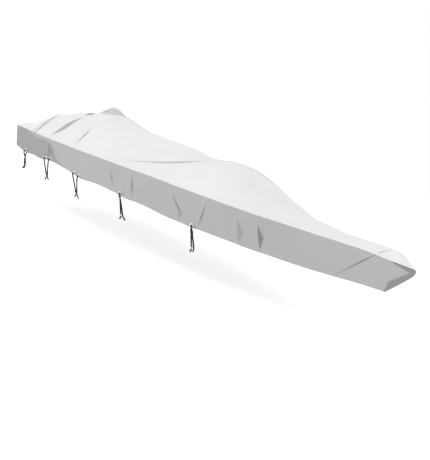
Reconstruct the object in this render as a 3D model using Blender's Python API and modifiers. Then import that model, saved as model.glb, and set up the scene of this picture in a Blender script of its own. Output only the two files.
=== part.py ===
"""A fitted cover for an open runabout about 5.5 m long, without the boat.

A pale top panel runs from gunwale to gunwale. A grey skirt hangs from it on each side, a short one
across the stern, and a dark band goes round the bow. Cord ties hang from eyelets in the side hems,
and a white stud pins the two legs of each tie. All lengths are in metres.

The frame: +X points to the bow, +Y to port and +Z up. The origin is under the top panel, on the
centreline and halfway along, where the boat's windscreen frame would hold the cloth up.
"""

from collections import namedtuple

import bmesh
import bpy
import numpy as np
from mathutils import Matrix, Vector

# ---------------------------------------------------------------- driving dimensions
LENGTH = 5.452
CLOTH = 0.002  # thickness of every sheet
GAP = 0.0003  # between two sheets that are sewn together
SEAM_DROP = CLOTH + GAP  # a skirt starts this far below the top panel's outer edge
BOW_RAKE = 0.207  # the hem's front end lies this far behind the bow's tip
NOSE_BULGE = 0.100  # how far the rounded nose stands out below the bow's tip,
NOSE_ROUND = 0.12  # rounded over about this share of the way down to the hem,
NOSE_FADE = 40  # and fading quickly behind the stem
STERN_TUCK = 0.02  # the stern skirt's hem lies this far in front of its top edge
STERN_TURN = 0.06  # the share of the length over which a side skirt meets the stern's slope

# Sections of the cover. place runs from 0 at the stern to 1 at the bow's tip, half is the half-breadth
# at the gunwale, sheer the gunwale's height, crown the top panel's rise above it on the centreline,
# full the exponent of the crown's curve across, skirt the skirt's depth, and tuck how far the hem is
# drawn in.
Section = namedtuple("Section", "place half sheer crown full skirt tuck")
SECTIONS = [Section(*row) for row in (
    (0.000, 1.070, -0.008, 0.140, 2.4, 0.270, 0.040),
    (0.020, 1.068, -0.009, 0.190, 2.3, 0.290, 0.040),
    (0.040, 1.067, -0.010, 0.340, 2.3, 0.305, 0.040),
    (0.080, 1.070, -0.015, 0.435, 1.9, 0.290, 0.040),
    (0.150, 1.080, -0.020, 0.480, 1.6, 0.275, 0.040),
    (0.200, 1.080, -0.020, 0.405, 1.8, 0.275, 0.030),
    (0.260, 1.080, -0.020, 0.385, 1.9, 0.290, 0.020),
    (0.382, 1.050, -0.015, 0.360, 1.8, 0.320, 0.020),
    (0.482, 0.980, -0.015, 0.325, 1.6, 0.345, 0.030),
    (0.563, 0.890, -0.025, 0.370, 1.85, 0.370, 0.040),
    (0.643, 0.780, -0.035, 0.205, 3.0, 0.370, 0.050),
    (0.683, 0.710, -0.040, 0.125, 3.0, 0.370, 0.055),
    (0.723, 0.630, -0.045, 0.065, 1.8, 0.375, 0.060),
    (0.824, 0.420, -0.045, 0.055, 1.3, 0.375, 0.050),
    (0.914, 0.230, -0.045, 0.065, 2.0, 0.360, 0.050),
    (0.965, 0.140, -0.060, 0.080, 1.8, 0.330, 0.030),
    (1.000, 0.000, -0.080, 0.000, 2.0, 0.315, 0.000),
)]

# The lump that the gear at the stern pushes up: its middle, its half-lengths along and across, its rise.
LUMP_PLACE = 0.063
LUMP_SIDE = 0.15  # share of the half-breadth, to port
LUMP_ALONG = 0.24
LUMP_ACROSS = 0.17
LUMP_RISE = 0.135

# Folds of the top panel, each a soft ridge or trough from one point to another. A side of -1 is the
# starboard gunwale and 1 the port one. spread is the fold's half-width, rise its height.
Fold = namedtuple("Fold", "from_place from_side to_place to_side spread rise")
FOLDS = [Fold(*row) for row in (
    (0.085, -1.00, 0.050, -0.62, 0.050, 0.030),
    (0.146, -0.98, 0.122, -0.50, 0.060, -0.030),
    (0.116, -0.45, 0.092, -0.26, 0.045, -0.020),
    (0.246, -0.97, 0.193, -0.62, 0.050, -0.022),
    (0.403, -0.96, 0.539, -0.28, 0.060, -0.026),
    (0.941, -1.00, 0.955, -0.13, 0.035, -0.008),
    (0.100, 0.98, 0.085, 0.55, 0.060, -0.028),
    (0.205, 0.98, 0.160, 0.60, 0.055, -0.022),
    (0.387, 0.96, 0.522, 0.35, 0.065, -0.024),
)]
FOLD_FADE = 8  # exponent with which the folds die out at the gunwale

# Pleats of a side skirt, from a point near its top to one near its hem. down is 0 at the seam and 1 at
# the hem, spread the pleat's half-width, rise how far it stands out.
Pleat = namedtuple("Pleat", "high_place high_down low_place low_down spread rise")
PLEATS = [Pleat(*row) for row in (
    (0.153, 0.18, 0.157, 0.80, 0.045, 0.020),
    (0.380, 0.15, 0.401, 0.88, 0.030, 0.010),
    (0.444, 0.12, 0.455, 0.94, 0.030, 0.011),
    (0.550, 0.22, 0.578, 0.94, 0.040, 0.014),
    (0.628, 0.10, 0.624, 0.80, 0.030, 0.012),
    (0.693, 0.22, 0.709, 0.94, 0.050, 0.022),
    (0.734, 0.24, 0.753, 0.94, 0.055, 0.026),
    (0.941, 0.02, 0.907, 0.98, 0.035, 0.012),
)]

# Waves of the side hems: middle, half-width as a share of the length, and how much deeper the hem is.
Wave = namedtuple("Wave", "place spread drop")
WAVES = [Wave(*row) for row in (
    (0.065, 0.020, 0.010),
    (0.120, 0.026, 0.024),
    (0.215, 0.025, 0.008),
    (0.290, 0.042, 0.029),
    (0.442, 0.022, 0.013),
    (0.607, 0.018, 0.007),
)]

# The bow band: an arm along each seam that widens forward, then the whole stem.
ARM_START = 0.961  # place where the arm begins
ARM_DEPTH = 0.155  # its depth at the stem, as a share of the skirt's
BAND_NECK = 0.0030  # the band's width on each side just below the arm, as a share of the length,
BAND_WIDTH = 0.0105  # its greatest width,
BAND_WIDEST = 0.63  # at this share of the way from the arm to the hem,
BAND_FOOT = 0.0010  # and its width at the hem
BAND_START = 1 - BAND_NECK  # place of the corner between the arm and the rest

# Eyelets and ties.
RING_WIRE = 0.0055  # radius of the rolled rim
RING_RADIUS = 0.0170  # from the ring's middle to the middle of its rim
RING_FIT = 0.0008  # between the rim and the hole in the cloth
RING_ABOVE_HEM = 0.0245
PAIR_SPACING = 0.104  # between the two eyelets of one tie
CORD_RADIUS = 0.0085
CORD_SEAT = 0.0008  # between a cord and the ring or the stud's head that it lies on
STUD_SHANK = 0.004
STUD_FIT = 0.0005  # between a cord and the shank
STUD_HEAD = 0.0095
STUD_HEAD_DEPTH = 0.005
TIE_INWARD = 0.12  # a tie leans in towards the hull by this much for each metre down

# Ties of one side, from the stern. x is the tie's place, eyelets how many it goes through, drop the
# stud's distance below them, lean how far it drifts forward for each metre down, and tail_aft and
# tail_fore where its two free ends point along the hem.
Tie = namedtuple("Tie", "number x eyelets drop lean tail_aft tail_fore")
TIES = [Tie(*row) for row in (
    (1, -2.463, 1, 0.198, 0.12, -0.046, -0.010),
    (2, -1.895, 2, 0.222, 0.22, -0.040, 0.044),
    (3, -1.217, 2, 0.232, 0.34, -0.036, 0.048),
    (4, -0.428, 1, 0.252, 0.37, -0.040, 0.052),
    (5, 0.571, 1, 0.242, 0.31, -0.036, 0.000),
)]
STUD_OUT = {1: 0.0, 2: 0.018}  # how far out from the cloth a stud lies, by the tie's number of eyelets
LEG_CLOSE = 0.68  # at this share of the drop a tie's two legs have closed in,
LEG_APART = 0.36  # to this share of what they were apart
LEG_BESIDE = 0.026  # they lie side by side from this far above the stud
TAIL_AFT = 0.058  # how far the aft free end hangs below the stud,
TAIL_FORE = 0.046  # and how far the one ahead of it
TAIL_OUT = 0.004  # how far they stand out at their tips
TAIL_ROUTE = ((0.085, 0.26), (0.34, 0.50), (1.00, 1.00))  # shares of the way to the tip: aside, down

# The start of half a tie, from its middle: distances along the hem, out from the cloth, and down. The
# first goes through one eyelet, the second runs behind the cloth to one of two eyelets and out of it.
LOOP_ROUTE = (
    (0.0000, 0.0000, 0.0000),
    (0.0055, 0.0142, 0.0026),
    (0.0120, 0.0248, 0.0105),
    (0.0190, 0.0308, 0.0235),
    (0.0240, 0.0310, 0.0370),
    (0.0250, 0.0270, 0.0510),
    (0.0215, 0.0180, 0.0680),
    (0.0155, 0.0100, 0.0880),
    (0.0110, 0.0040, 0.1080),
)
VEE_ROUTE = (
    (0.0000, -0.0500, -0.0120),
    (0.0210, -0.0465, -0.0115),
    (0.0385, -0.0360, -0.0090),
    (0.0499, -0.0182, -0.0034),
    (0.0520, 0.0000, 0.0000),
    (0.0520, 0.0154, 0.0042),
    (0.0505, 0.0245, 0.0165),
    (0.0468, 0.0272, 0.0350),
    (0.0385, 0.0250, 0.0660),
)

# ---------------------------------------------------------------- colours and finishes
# One row for each material: colour in linear light, roughness, metallic.
FINISHES = {
    "pale_cloth": ((0.84, 0.83, 0.85), 0.75, 0.0),
    "grey_cloth": ((0.475, 0.48, 0.48), 0.80, 0.0),
    "dark_cloth": ((0.305, 0.297, 0.297), 0.80, 0.0),
    "ring_metal": ((0.78, 0.78, 0.76), 0.35, 1.0),
    "black_cord": ((0.012, 0.012, 0.014), 0.85, 0.0),
    "white_plastic": ((0.85, 0.84, 0.80), 0.40, 0.0),
}

# ---------------------------------------------------------------- mesh resolution
NEAR = 0.001  # the step along the length over which a direction is measured
TOP_COLUMNS = 56
TOP_ROWS = 20
SKIRT_COLUMNS = 34
SKIRT_ROWS = 4
PLEAT_EDGE = 1.2  # a pleat's outer mesh columns lie this many half-widths from its middle
COLUMN_CLEAR = 0.0105  # plain mesh columns this close to a pleat's are left out
ARM_COLUMNS = 3
ARM_ROWS = 4
NOSE_COLUMNS = 2
RING_SEGMENTS = 14
RING_SIDES = 6
HOLE_SEGMENTS = 16
STUD_SEGMENTS = 10
CORD_RESOLUTION = 2
CORD_STEP = 0.030
BISECTIONS = 40


def column(table, name):
    """One named column of a table."""
    return np.array([getattr(row, name) for row in table], float)


def smooth(x, xs, ys):
    """A curve through the rows (xs, ys) that doesn't overshoot them, read at x."""
    step = np.diff(xs)
    rate = np.diff(ys) / step
    bends = np.zeros(len(xs) - 2)
    same = rate[:-1] * rate[1:] > 0
    weight_a = 2 * step[1:] + step[:-1]
    weight_b = step[1:] + 2 * step[:-1]
    total = (weight_a + weight_b)[same]
    bends[same] = total / (weight_a[same] / rate[:-1][same] + weight_b[same] / rate[1:][same])
    slope = np.concatenate([[rate[0]], bends, [rate[-1]]])
    i = np.clip(np.searchsorted(xs, x, side="right") - 1, 0, len(step) - 1)
    h = step[i]
    s = (x - xs[i]) / h
    start = (1 + 2 * s) * (1 - s) ** 2 * ys[i] + s * (1 - s) ** 2 * h * slope[i]
    end = s**2 * (3 - 2 * s) * ys[i + 1] + s**2 * (s - 1) * h * slope[i + 1]
    return start + end


def section(name, place):
    """One column of SECTIONS at a place along the cover."""
    return float(smooth(place, column(SECTIONS, "place"), column(SECTIONS, name)))


def plan_point(place, side):
    """A point of the top panel seen from above."""
    return np.array([LENGTH * (place - 0.5), side * section("half", place)])


def fold_height(place, side, x, y):
    """How much the top panel's folds raise or lower it at one point."""
    height = 0.0
    for fold in FOLDS:
        start = plan_point(fold.from_place, fold.from_side)
        end = plan_point(fold.to_place, fold.to_side)
        run = end - start
        share = float(np.dot(np.array([x, y]) - start, run) / np.dot(run, run))
        nearest = start + run * min(max(share, 0.0), 1.0)
        away = float(np.hypot(x - nearest[0], y - nearest[1]))
        height += fold.rise * np.exp(-((away / fold.spread) ** 2))
    return height * (1 - abs(side) ** FOLD_FADE)


def top_point(place, side):
    """A point of the top panel's outer face; side is -1 at the starboard gunwale and 1 at the port one."""
    x, y = plan_point(place, side)
    z = section("sheer", place) + section("crown", place) * (1 - abs(side) ** section("full", place))
    lump_x = (x - LENGTH * (LUMP_PLACE - 0.5)) / LUMP_ALONG
    lump_y = (y - LUMP_SIDE * section("half", place)) / LUMP_ACROSS
    z += LUMP_RISE * np.exp(-(lump_x**2) - lump_y**2)
    z += fold_height(place, side, x, y)
    return np.array([x, y, z])


def lift():
    """The height of the frame's origin above the sections' own zero: under the cloth, halfway along."""
    return top_point(0.5, 0.0)[2] - CLOTH


def skirt_depth(place):
    """The side skirt's depth, with the hem's waves."""
    depth = section("skirt", place)
    for wave in WAVES:
        depth += wave.drop * np.exp(-(((place - wave.place) / wave.spread) ** 2))
    return depth


def pleat_rise(place, down):
    """How far the pleats push the skirt outwards at one point."""
    rise = 0.0
    for pleat in PLEATS:
        share = (down - pleat.high_down) / (pleat.low_down - pleat.high_down)
        middle = pleat.high_place + (pleat.low_place - pleat.high_place) * share
        strength = max(0.0, 1 - (2 * share - 1) ** 2)
        away = LENGTH * (place - middle) / pleat.spread
        rise += pleat.rise * strength * np.exp(-(away**2))
    return rise


def side_point(place, down):
    """A point of the starboard skirt's outer face; down is 0 at the gunwale and 1 at the hem."""
    half = section("half", place)
    sheer = section("sheer", place)
    x = LENGTH * (place - 0.5)
    forward = max(0.0, (place - 0.5) / 0.5)
    aft = max(0.0, 1 - (place / STERN_TURN) ** 2)
    gunwale = np.array([x, -half, sheer])
    hem = np.array([
        x - BOW_RAKE * forward**2 + STERN_TUCK * aft,
        -max(half - section("tuck", place), 0.0),
        sheer - skirt_depth(place),
    ])
    widening = section("half", min(place + NEAR, 1)) - section("half", max(place - NEAR, 0))
    outward = np.array([-widening / (2 * NEAR * LENGTH), -1.0, 0.0])
    outward /= np.linalg.norm(outward)
    nose = NOSE_BULGE * forward**NOSE_FADE * (1 - down) * (1 - np.exp(-down / NOSE_ROUND))
    flat = gunwale + (hem - gunwale) * down + np.array([nose, 0.0, 0.0])
    return flat + outward * pleat_rise(place, down)


def side_normal(place, down):
    """The starboard skirt's outward direction."""
    run = side_point(place + 4 * NEAR, down) - side_point(place - 4 * NEAR, down)
    rise = side_point(place, down - 40 * NEAR) - side_point(place, min(down + 40 * NEAR, 1))
    normal = np.cross(run, rise)
    return normal / np.linalg.norm(normal)


# ---------------------------------------------------------------- scene helpers
def clear_scene():
    for item in list(bpy.data.objects):
        bpy.data.objects.remove(item, do_unlink=True)
    for group in list(bpy.data.collections):
        bpy.data.collections.remove(group)


def new_collection(name):
    group = bpy.data.collections.new(name)
    bpy.context.scene.collection.children.link(group)
    return group


def material(name):
    found = bpy.data.materials.get(name)
    if found:
        return found
    colour, roughness, metallic = FINISHES[name]
    made = bpy.data.materials.new(name)
    made.use_nodes = True
    shader = made.node_tree.nodes["Principled BSDF"]
    shader.inputs["Base Color"].default_value = (*colour, 1.0)
    shader.inputs["Roughness"].default_value = roughness
    shader.inputs["Metallic"].default_value = metallic
    return made


def add_object(name, data, finish, group):
    item = bpy.data.objects.new(name, data)
    group.objects.link(item)
    if finish:
        data.materials.append(material(finish))
    return item


def mesh_from(bm, name):
    mesh = bpy.data.meshes.new(name)
    bm.to_mesh(mesh)
    bm.free()
    mesh.shade_smooth()
    return mesh


def grid(across, up, place_vertex, keep=None):
    """A grid of faces whose vertices are placed by a function of their column and row numbers."""
    bm = bmesh.new()
    bmesh.ops.create_grid(bm, x_segments=across, y_segments=up, size=1)
    numbers = {v: (round((v.co.x + 1) / 2 * across), round((v.co.y + 1) / 2 * up)) for v in bm.verts}
    if keep:
        lost = [f for f in bm.faces if not keep(*corner(f, numbers))]
        bmesh.ops.delete(bm, geom=lost, context="FACES")
    for v in bm.verts:
        v.co = Vector(place_vertex(*numbers[v]))
    bmesh.ops.remove_doubles(bm, verts=bm.verts, dist=1e-5)
    return bm


def corner(face, numbers):
    """The lowest column and row number of a grid face."""
    return min(numbers[v][0] for v in face.verts), min(numbers[v][1] for v in face.verts)


def lifted(point):
    """A point of the sections' own height moved into the cover's frame."""
    return (point[0], point[1], point[2] - LIFT)


def thicken(item):
    """Gives an open sheet its thickness, inwards from its outer face."""
    shell = item.modifiers.new("cloth", "SOLIDIFY")
    shell.thickness = CLOTH
    shell.offset = -1


# ---------------------------------------------------------------- cloth
def top_place(share):
    """Places along the top panel, closer together towards both ends."""
    bunched = (1 - np.cos(np.pi * share)) / 2
    return (share + bunched) / 2


def make_top_panel(group):
    def vertex(i, j):
        return lifted(top_point(top_place(i / TOP_COLUMNS), 2 * j / TOP_ROWS - 1))

    bm = grid(TOP_COLUMNS, TOP_ROWS, vertex)
    thicken(add_object("top_panel", mesh_from(bm, "top_panel"), "pale_cloth", group))


def band_edge(q):
    """The place of the bow band's edge beside the stem, at a share q of the skirt below the arm."""
    return 1 - np.interp(q, (0, BAND_WIDEST, 1), (BAND_NECK, BAND_WIDTH, BAND_FOOT))


def arm_down(place):
    """How far down the band's arm reaches at a place, as a share of the skirt's depth."""
    share = (place - ARM_START) / (BAND_START - ARM_START)
    return ARM_DEPTH * min(max(share, 0.0), 1.0)


def skirt_columns():
    """The side skirt's mesh columns, each as its place at the seam and at the hem: three for each pleat."""
    pleats = []
    for pleat in PLEATS:
        drift = (pleat.low_place - pleat.high_place) / (pleat.low_down - pleat.high_down)
        at_seam = pleat.high_place - drift * pleat.high_down
        for edge in (-PLEAT_EDGE, 0, PLEAT_EDGE):
            shift = edge * pleat.spread / LENGTH
            pleats.append((at_seam + shift, at_seam + drift + shift))
    plain = [(p, p) for p in np.linspace(SEAM_DROP / LENGTH, ARM_START, SKIRT_COLUMNS)]
    plain += [(p, p) for p in np.linspace(ARM_START, BAND_START, ARM_COLUMNS + 1)[1:]]
    kept = [c for c in plain if c in (plain[0], plain[-1]) or all(clear_of(c, p) for p in pleats)]
    return sorted(kept + pleats, key=sum)


def clear_of(plain, pleat):
    """Whether a mesh column keeps its distance from a pleat's, on the same side at the seam and the hem."""
    at_seam = plain[0] - pleat[0]
    at_hem = plain[1] - pleat[1]
    return min(abs(at_seam), abs(at_hem)) > COLUMN_CLEAR and at_seam * at_hem > 0


def skirt_vertex(ends, is_front, q):
    """A point of the starboard skirt: a mesh column, and a share q of the way down it."""
    at_seam, at_hem = ends
    place = band_edge(q) - GAP / LENGTH if is_front else at_seam + (at_hem - at_seam) * q
    depth = skirt_depth(place)
    start = (max(SEAM_DROP, arm_down(place) * depth) + GAP) / depth
    return side_point(place, start + (1 - start) * q)


def make_side_skirts(group, cutters):
    ends = skirt_columns()
    last = len(ends) - 1

    def vertex(i, j):
        return lifted(skirt_vertex(ends[i], i == last, 1 - j / SKIRT_ROWS))

    for side, turn in (("starboard", 1), ("port", -1)):
        name = f"side_skirt_{side}"
        bm = grid(last, SKIRT_ROWS, vertex)
        mirror(bm, turn)
        item = add_object(name, mesh_from(bm, name), "grey_cloth", group)
        thicken(item)
        cut = item.modifiers.new("eyelet holes", "BOOLEAN")
        cut.operation = "DIFFERENCE"
        cut.object = eyelet_cutter(side, turn, cutters)


def mirror(bm, turn):
    """Moves a starboard mesh to port where turn is -1."""
    if turn > 0:
        return
    for v in bm.verts:
        v.co.y = -v.co.y
    bmesh.ops.reverse_faces(bm, faces=bm.faces)


def make_stern_skirt(group):
    def vertex(i, j):
        share = 1 - 2 * i / TOP_ROWS
        q = 1 - j / SKIRT_ROWS
        edge = top_point(0, share)
        corner_hem = side_point(0, 1)
        hem = np.array([corner_hem[0], -share * corner_hem[1], corner_hem[2]])
        start = edge - np.array([0, 0, SEAM_DROP])
        return lifted(start + (hem - start) * q)

    bm = grid(TOP_ROWS, SKIRT_ROWS, vertex)
    thicken(add_object("stern_skirt", mesh_from(bm, "stern_skirt"), "grey_cloth", group))


def make_bow_band(group):
    """The starboard arm and half the stem, with their mirror image, as one strip folded round the bow."""
    levels = SKIRT_ROWS + ARM_ROWS

    def vertex(i, j):
        level = levels - j
        q = max(0, level - ARM_ROWS) / SKIRT_ROWS
        if i < ARM_COLUMNS:
            place = ARM_START + (BAND_START - ARM_START) * i / ARM_COLUMNS
        else:
            place = band_edge(q) + (1 - band_edge(q)) * (i - ARM_COLUMNS) / NOSE_COLUMNS
        seam = SEAM_DROP / skirt_depth(place)
        arm = max(arm_down(place), seam)
        share = min(level / ARM_ROWS, 1)
        return lifted(side_point(place, seam + (arm - seam) * share + (1 - arm) * q))

    def keep(i, j):
        return j >= levels - ARM_ROWS or i >= ARM_COLUMNS

    bm = grid(ARM_COLUMNS + NOSE_COLUMNS, levels, vertex, keep)
    band = add_object("bow_band", mesh_from(bm, "bow_band"), "dark_cloth", group)
    halves = band.modifiers.new("port half", "MIRROR")
    halves.use_axis = (False, True, False)
    halves.merge_threshold = 0.0001
    thicken(band)


# ---------------------------------------------------------------- eyelets
def place_of(x, down):
    """The place whose skirt point at that share down lies at x."""
    low, high = 0.0, 1.0
    for _ in range(BISECTIONS):
        middle = (low + high) / 2
        low, high = (middle, high) if side_point(middle, down)[0] < x else (low, middle)
    return (low + high) / 2


def eyelet_frame(x):
    """The middle of an eyelet in the starboard skirt, and the directions along the hem and outwards."""
    down = 1 - RING_ABOVE_HEM / skirt_depth(place_of(x, 1))
    place = place_of(x, down)
    out = side_normal(place, down)
    middle = side_point(place, down) - out * CLOTH / 2
    level = np.cross(out, np.array([0.0, 0.0, 1.0]))
    level /= -np.linalg.norm(level)
    return np.array(lifted(middle)), level, out


def eyelet_places():
    """Each eyelet's label and x, from the stern."""
    for tie in TIES:
        if tie.eyelets == 1:
            yield f"{tie.number}", tie.x
        else:
            yield f"{tie.number}a", tie.x - PAIR_SPACING / 2
            yield f"{tie.number}b", tie.x + PAIR_SPACING / 2


def axis_matrix(middle, axis):
    """A placement at middle with the local Z axis along axis."""
    turn = Vector((0, 0, 1)).rotation_difference(Vector(axis)).to_matrix().to_4x4()
    return Matrix.Translation(Vector(middle)) @ turn


def flipped(vector, turn):
    """A starboard point or direction, or its mirror image to port."""
    return np.array([vector[0], vector[1] * turn, vector[2]])


def eyelet_cutter(side, turn, cutters):
    """The cutter of one skirt: a short cylinder through the cloth at each eyelet."""
    bm = bmesh.new()
    radius = RING_RADIUS + RING_WIRE + RING_FIT
    for _, x in eyelet_places():
        middle, _, out = eyelet_frame(x)
        bmesh.ops.create_cone(
            bm, cap_ends=True, segments=HOLE_SEGMENTS, radius1=radius, radius2=radius, depth=8 * CLOTH,
            matrix=axis_matrix(flipped(middle, turn), flipped(out, turn)),
        )
    cutter = add_object(f"holes_{side}", mesh_from(bm, f"holes_{side}"), None, cutters)
    cutter.hide_render = True
    cutter.display_type = "WIRE"
    return cutter


def make_eyelets(group, turn, letter):
    bpy.ops.mesh.primitive_torus_add(
        major_segments=RING_SEGMENTS, minor_segments=RING_SIDES,
        major_radius=RING_RADIUS, minor_radius=RING_WIRE,
    )
    pattern = bpy.context.object
    ring = pattern.data
    bpy.data.objects.remove(pattern)
    ring.name = f"eyelet_ring_{letter}"
    ring.shade_smooth()
    ring.materials.append(material("ring_metal"))
    for label, x in eyelet_places():
        middle, _, out = eyelet_frame(x)
        item = add_object(f"eyelet_{letter}{label}", ring, None, group)
        item.matrix_world = axis_matrix(flipped(middle, turn), flipped(out, turn))


# ---------------------------------------------------------------- ties
def catmull(points):
    """A smooth curve through points, with a point about every CORD_STEP where they lie far apart."""
    ends = [2 * points[0] - points[1], *points, 2 * points[-1] - points[-2]]
    curve = []
    for a, b, c, d in zip(ends, ends[1:], ends[2:], ends[3:]):
        steps = max(1, round(float(np.linalg.norm(c - b)) / CORD_STEP))
        for k in range(steps):
            t = k / steps
            curve.append(
                0.5 * (2 * b + (c - a) * t + (2 * a - 5 * b + 4 * c - d) * t**2
                       + (3 * b - a - 3 * c + d) * t**3)
            )
    return curve + [points[-1]]


def half_route(tie, tail, behind):
    """Half of a tie's route, from its middle in or behind the cloth down to one free end."""
    seat = RING_RADIUS - RING_WIRE - CORD_RADIUS - CORD_SEAT
    face = -1 if behind and tie.eyelets == 1 else 1
    rows = LOOP_ROUTE if tie.eyelets == 1 else VEE_ROUTE
    route = [(along, face * out, down + seat) for along, out, down in rows]
    beside = (STUD_SHANK + CORD_RADIUS + STUD_FIT) * np.hypot(1, tie.lean)
    stud_out = STUD_OUT[tie.eyelets]
    apart = (route[-1][0] - beside, route[-1][1] - stud_out)
    closed = (beside + LEG_APART * apart[0], stud_out + LEG_APART * apart[1], LEG_CLOSE * tie.drop)
    route += [closed, (beside, stud_out, tie.drop - LEG_BESIDE), (beside, stud_out, tie.drop)]
    hang = TAIL_AFT if behind else TAIL_FORE
    for aside, down in TAIL_ROUTE:
        along = beside + aside * (tail - beside)
        route.append((along, stud_out + TAIL_OUT * down**2, tie.drop + hang * down))
    return route


def tie_route(tie):
    """The whole route of a starboard tie, its stud's middle, and the stud's axis."""
    middle, level, out = eyelet_frame(tie.x)
    if tie.eyelets == 2:
        aft, _, _ = eyelet_frame(tie.x - PAIR_SPACING / 2)
        fore, _, _ = eyelet_frame(tie.x + PAIR_SPACING / 2)
        middle = (aft + fore) / 2
        level = (fore - aft) / np.linalg.norm(fore - aft)
    down = np.array([0.0, 0.0, -1.0]) + tie.lean * level - TIE_INWARD * out
    down /= np.linalg.norm(down)
    fore_half = half_route(tie, tie.tail_fore, behind=False)
    aft_half = [(-a, o, d) for a, o, d in half_route(tie, -tie.tail_aft, behind=True)]
    points = [middle + a * level + o * out + d * down for a, o, d in aft_half[:0:-1] + fore_half]
    stud = middle + STUD_OUT[tie.eyelets] * out + tie.drop * down
    axis = out - np.dot(out, down) * down
    return points, stud, axis / np.linalg.norm(axis)


def make_cord(name, points, group):
    line = bpy.data.curves.new(name, "CURVE")
    line.dimensions = "3D"
    line.bevel_depth = CORD_RADIUS
    line.bevel_resolution = CORD_RESOLUTION
    line.use_fill_caps = True
    spline = line.splines.new("POLY")
    spline.points.add(len(points) - 1)
    for point, place in zip(spline.points, points):
        point.co = (*place, 1.0)
    add_object(name, line, "black_cord", group)


def stud_mesh(name):
    """The stud's turned profile: a head, the shank and a second head."""
    seat = CORD_RADIUS + CORD_SEAT
    rim = seat + 0.4 * STUD_HEAD_DEPTH
    face = seat + STUD_HEAD_DEPTH
    half = ((0, face), (0.75 * STUD_HEAD, face), (STUD_HEAD, rim), (STUD_HEAD, seat), (STUD_SHANK, seat))
    profile = [*half, *((r, -z) for r, z in half[::-1])]
    mesh = bpy.data.meshes.new(name)
    edges = [(n, n + 1) for n in range(len(profile) - 1)]
    mesh.from_pydata([(r, 0, z) for r, z in profile], edges, [])
    mesh.materials.append(material("white_plastic"))
    return mesh


def make_ties(group, turn, letter):
    stud = stud_mesh(f"stud_{letter}")
    for tie in TIES:
        points, middle, axis = tie_route(tie)
        points = [flipped(p, turn) for p in points]
        make_cord(f"tie_{letter}{tie.number}", catmull(points), group)
        item = add_object(f"stud_{letter}{tie.number}", stud, None, group)
        turned = item.modifiers.new("turned", "SCREW")
        turned.steps = STUD_SEGMENTS
        turned.render_steps = STUD_SEGMENTS
        turned.use_merge_vertices = True
        turned.merge_threshold = 0.00005
        item.matrix_world = axis_matrix(flipped(middle, turn), flipped(axis, turn))


# ---------------------------------------------------------------- the cover
LIFT = lift()
clear_scene()
cover = new_collection("boat_cover")
cutter_group = new_collection("cutters")
make_top_panel(cover)
make_side_skirts(cover, cutter_group)
make_stern_skirt(cover)
make_bow_band(cover)
for side_turn, side_letter in ((1, "s"), (-1, "p")):
    make_eyelets(cover, side_turn, side_letter)
    make_ties(cover, side_turn, side_letter)
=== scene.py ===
# %% [markdown]
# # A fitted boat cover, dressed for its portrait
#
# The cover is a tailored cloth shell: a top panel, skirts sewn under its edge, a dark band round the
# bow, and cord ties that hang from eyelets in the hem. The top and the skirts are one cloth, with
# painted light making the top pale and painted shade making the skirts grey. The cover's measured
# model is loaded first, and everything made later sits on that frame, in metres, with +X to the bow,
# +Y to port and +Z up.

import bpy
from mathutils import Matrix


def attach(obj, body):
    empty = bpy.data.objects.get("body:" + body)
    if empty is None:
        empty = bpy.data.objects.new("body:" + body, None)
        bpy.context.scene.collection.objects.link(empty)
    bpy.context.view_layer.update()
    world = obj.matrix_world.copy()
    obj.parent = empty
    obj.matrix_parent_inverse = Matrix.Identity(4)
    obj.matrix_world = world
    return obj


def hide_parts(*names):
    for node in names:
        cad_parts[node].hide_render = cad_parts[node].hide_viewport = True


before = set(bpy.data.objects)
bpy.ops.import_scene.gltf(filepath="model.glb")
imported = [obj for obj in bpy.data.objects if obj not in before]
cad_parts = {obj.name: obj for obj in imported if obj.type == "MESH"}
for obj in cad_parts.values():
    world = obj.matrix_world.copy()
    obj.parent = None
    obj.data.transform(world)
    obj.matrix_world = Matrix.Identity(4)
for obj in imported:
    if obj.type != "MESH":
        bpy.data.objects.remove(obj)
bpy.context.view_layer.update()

# %% [markdown]
# ## Tools
#
# Blender's own modules place and join the pieces, and NumPy works out many points at once: a loop
# over the single points of a finely woven sheet would take minutes.

# %% Import the tools
import math
from collections import namedtuple

import bmesh
import bpy
import numpy as np
from mathutils import Matrix, Vector

scene = bpy.context.scene
print("Blender", bpy.app.version_string)

# %% [markdown]
# ## The camera
#
# The cover is seen from ahead and to starboard, a little above the gunwale, and the picture is
# tipped. A camera is easiest to think of as a point to look at, a direction to stand in, a distance,
# and a roll about the line of sight: each is one step or one turn in a product of matrices.

# %% Stand the camera
LOOK_AT = (0.733, -0.587, -0.684)
STAND_AHEAD = 48.9  # degrees ahead of the starboard beam
STAND_HEIGHT = 8.93
ROLL = 15.56
DISTANCE = 7.221
LENS = 53.0


def rotation(degrees, axis):
    return Matrix.Rotation(math.radians(degrees), 4, axis)


camera = bpy.data.objects.new("camera", bpy.data.cameras.new("camera"))
camera.data.lens = LENS
aim = rotation(90 - STAND_AHEAD, "Z") @ rotation(90 - STAND_HEIGHT, "X") @ rotation(ROLL, "Z")
camera.matrix_world = Matrix.Translation(LOOK_AT) @ aim @ Matrix.Translation((0, 0, DISTANCE))
scene.collection.objects.link(camera)
scene.camera = camera
print("camera stands at", tuple(round(v, 2) for v in camera.location))

# %% [markdown]
# ## The cover's lines
#
# A boat builder describes a hull by its sections, and the cover takes its shape from them: a short
# table gives the half-breadth, the height and the crown at places from the stern, 0, to the bow, 1. A
# curve that never overshoots its table reads every place in between.

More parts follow.
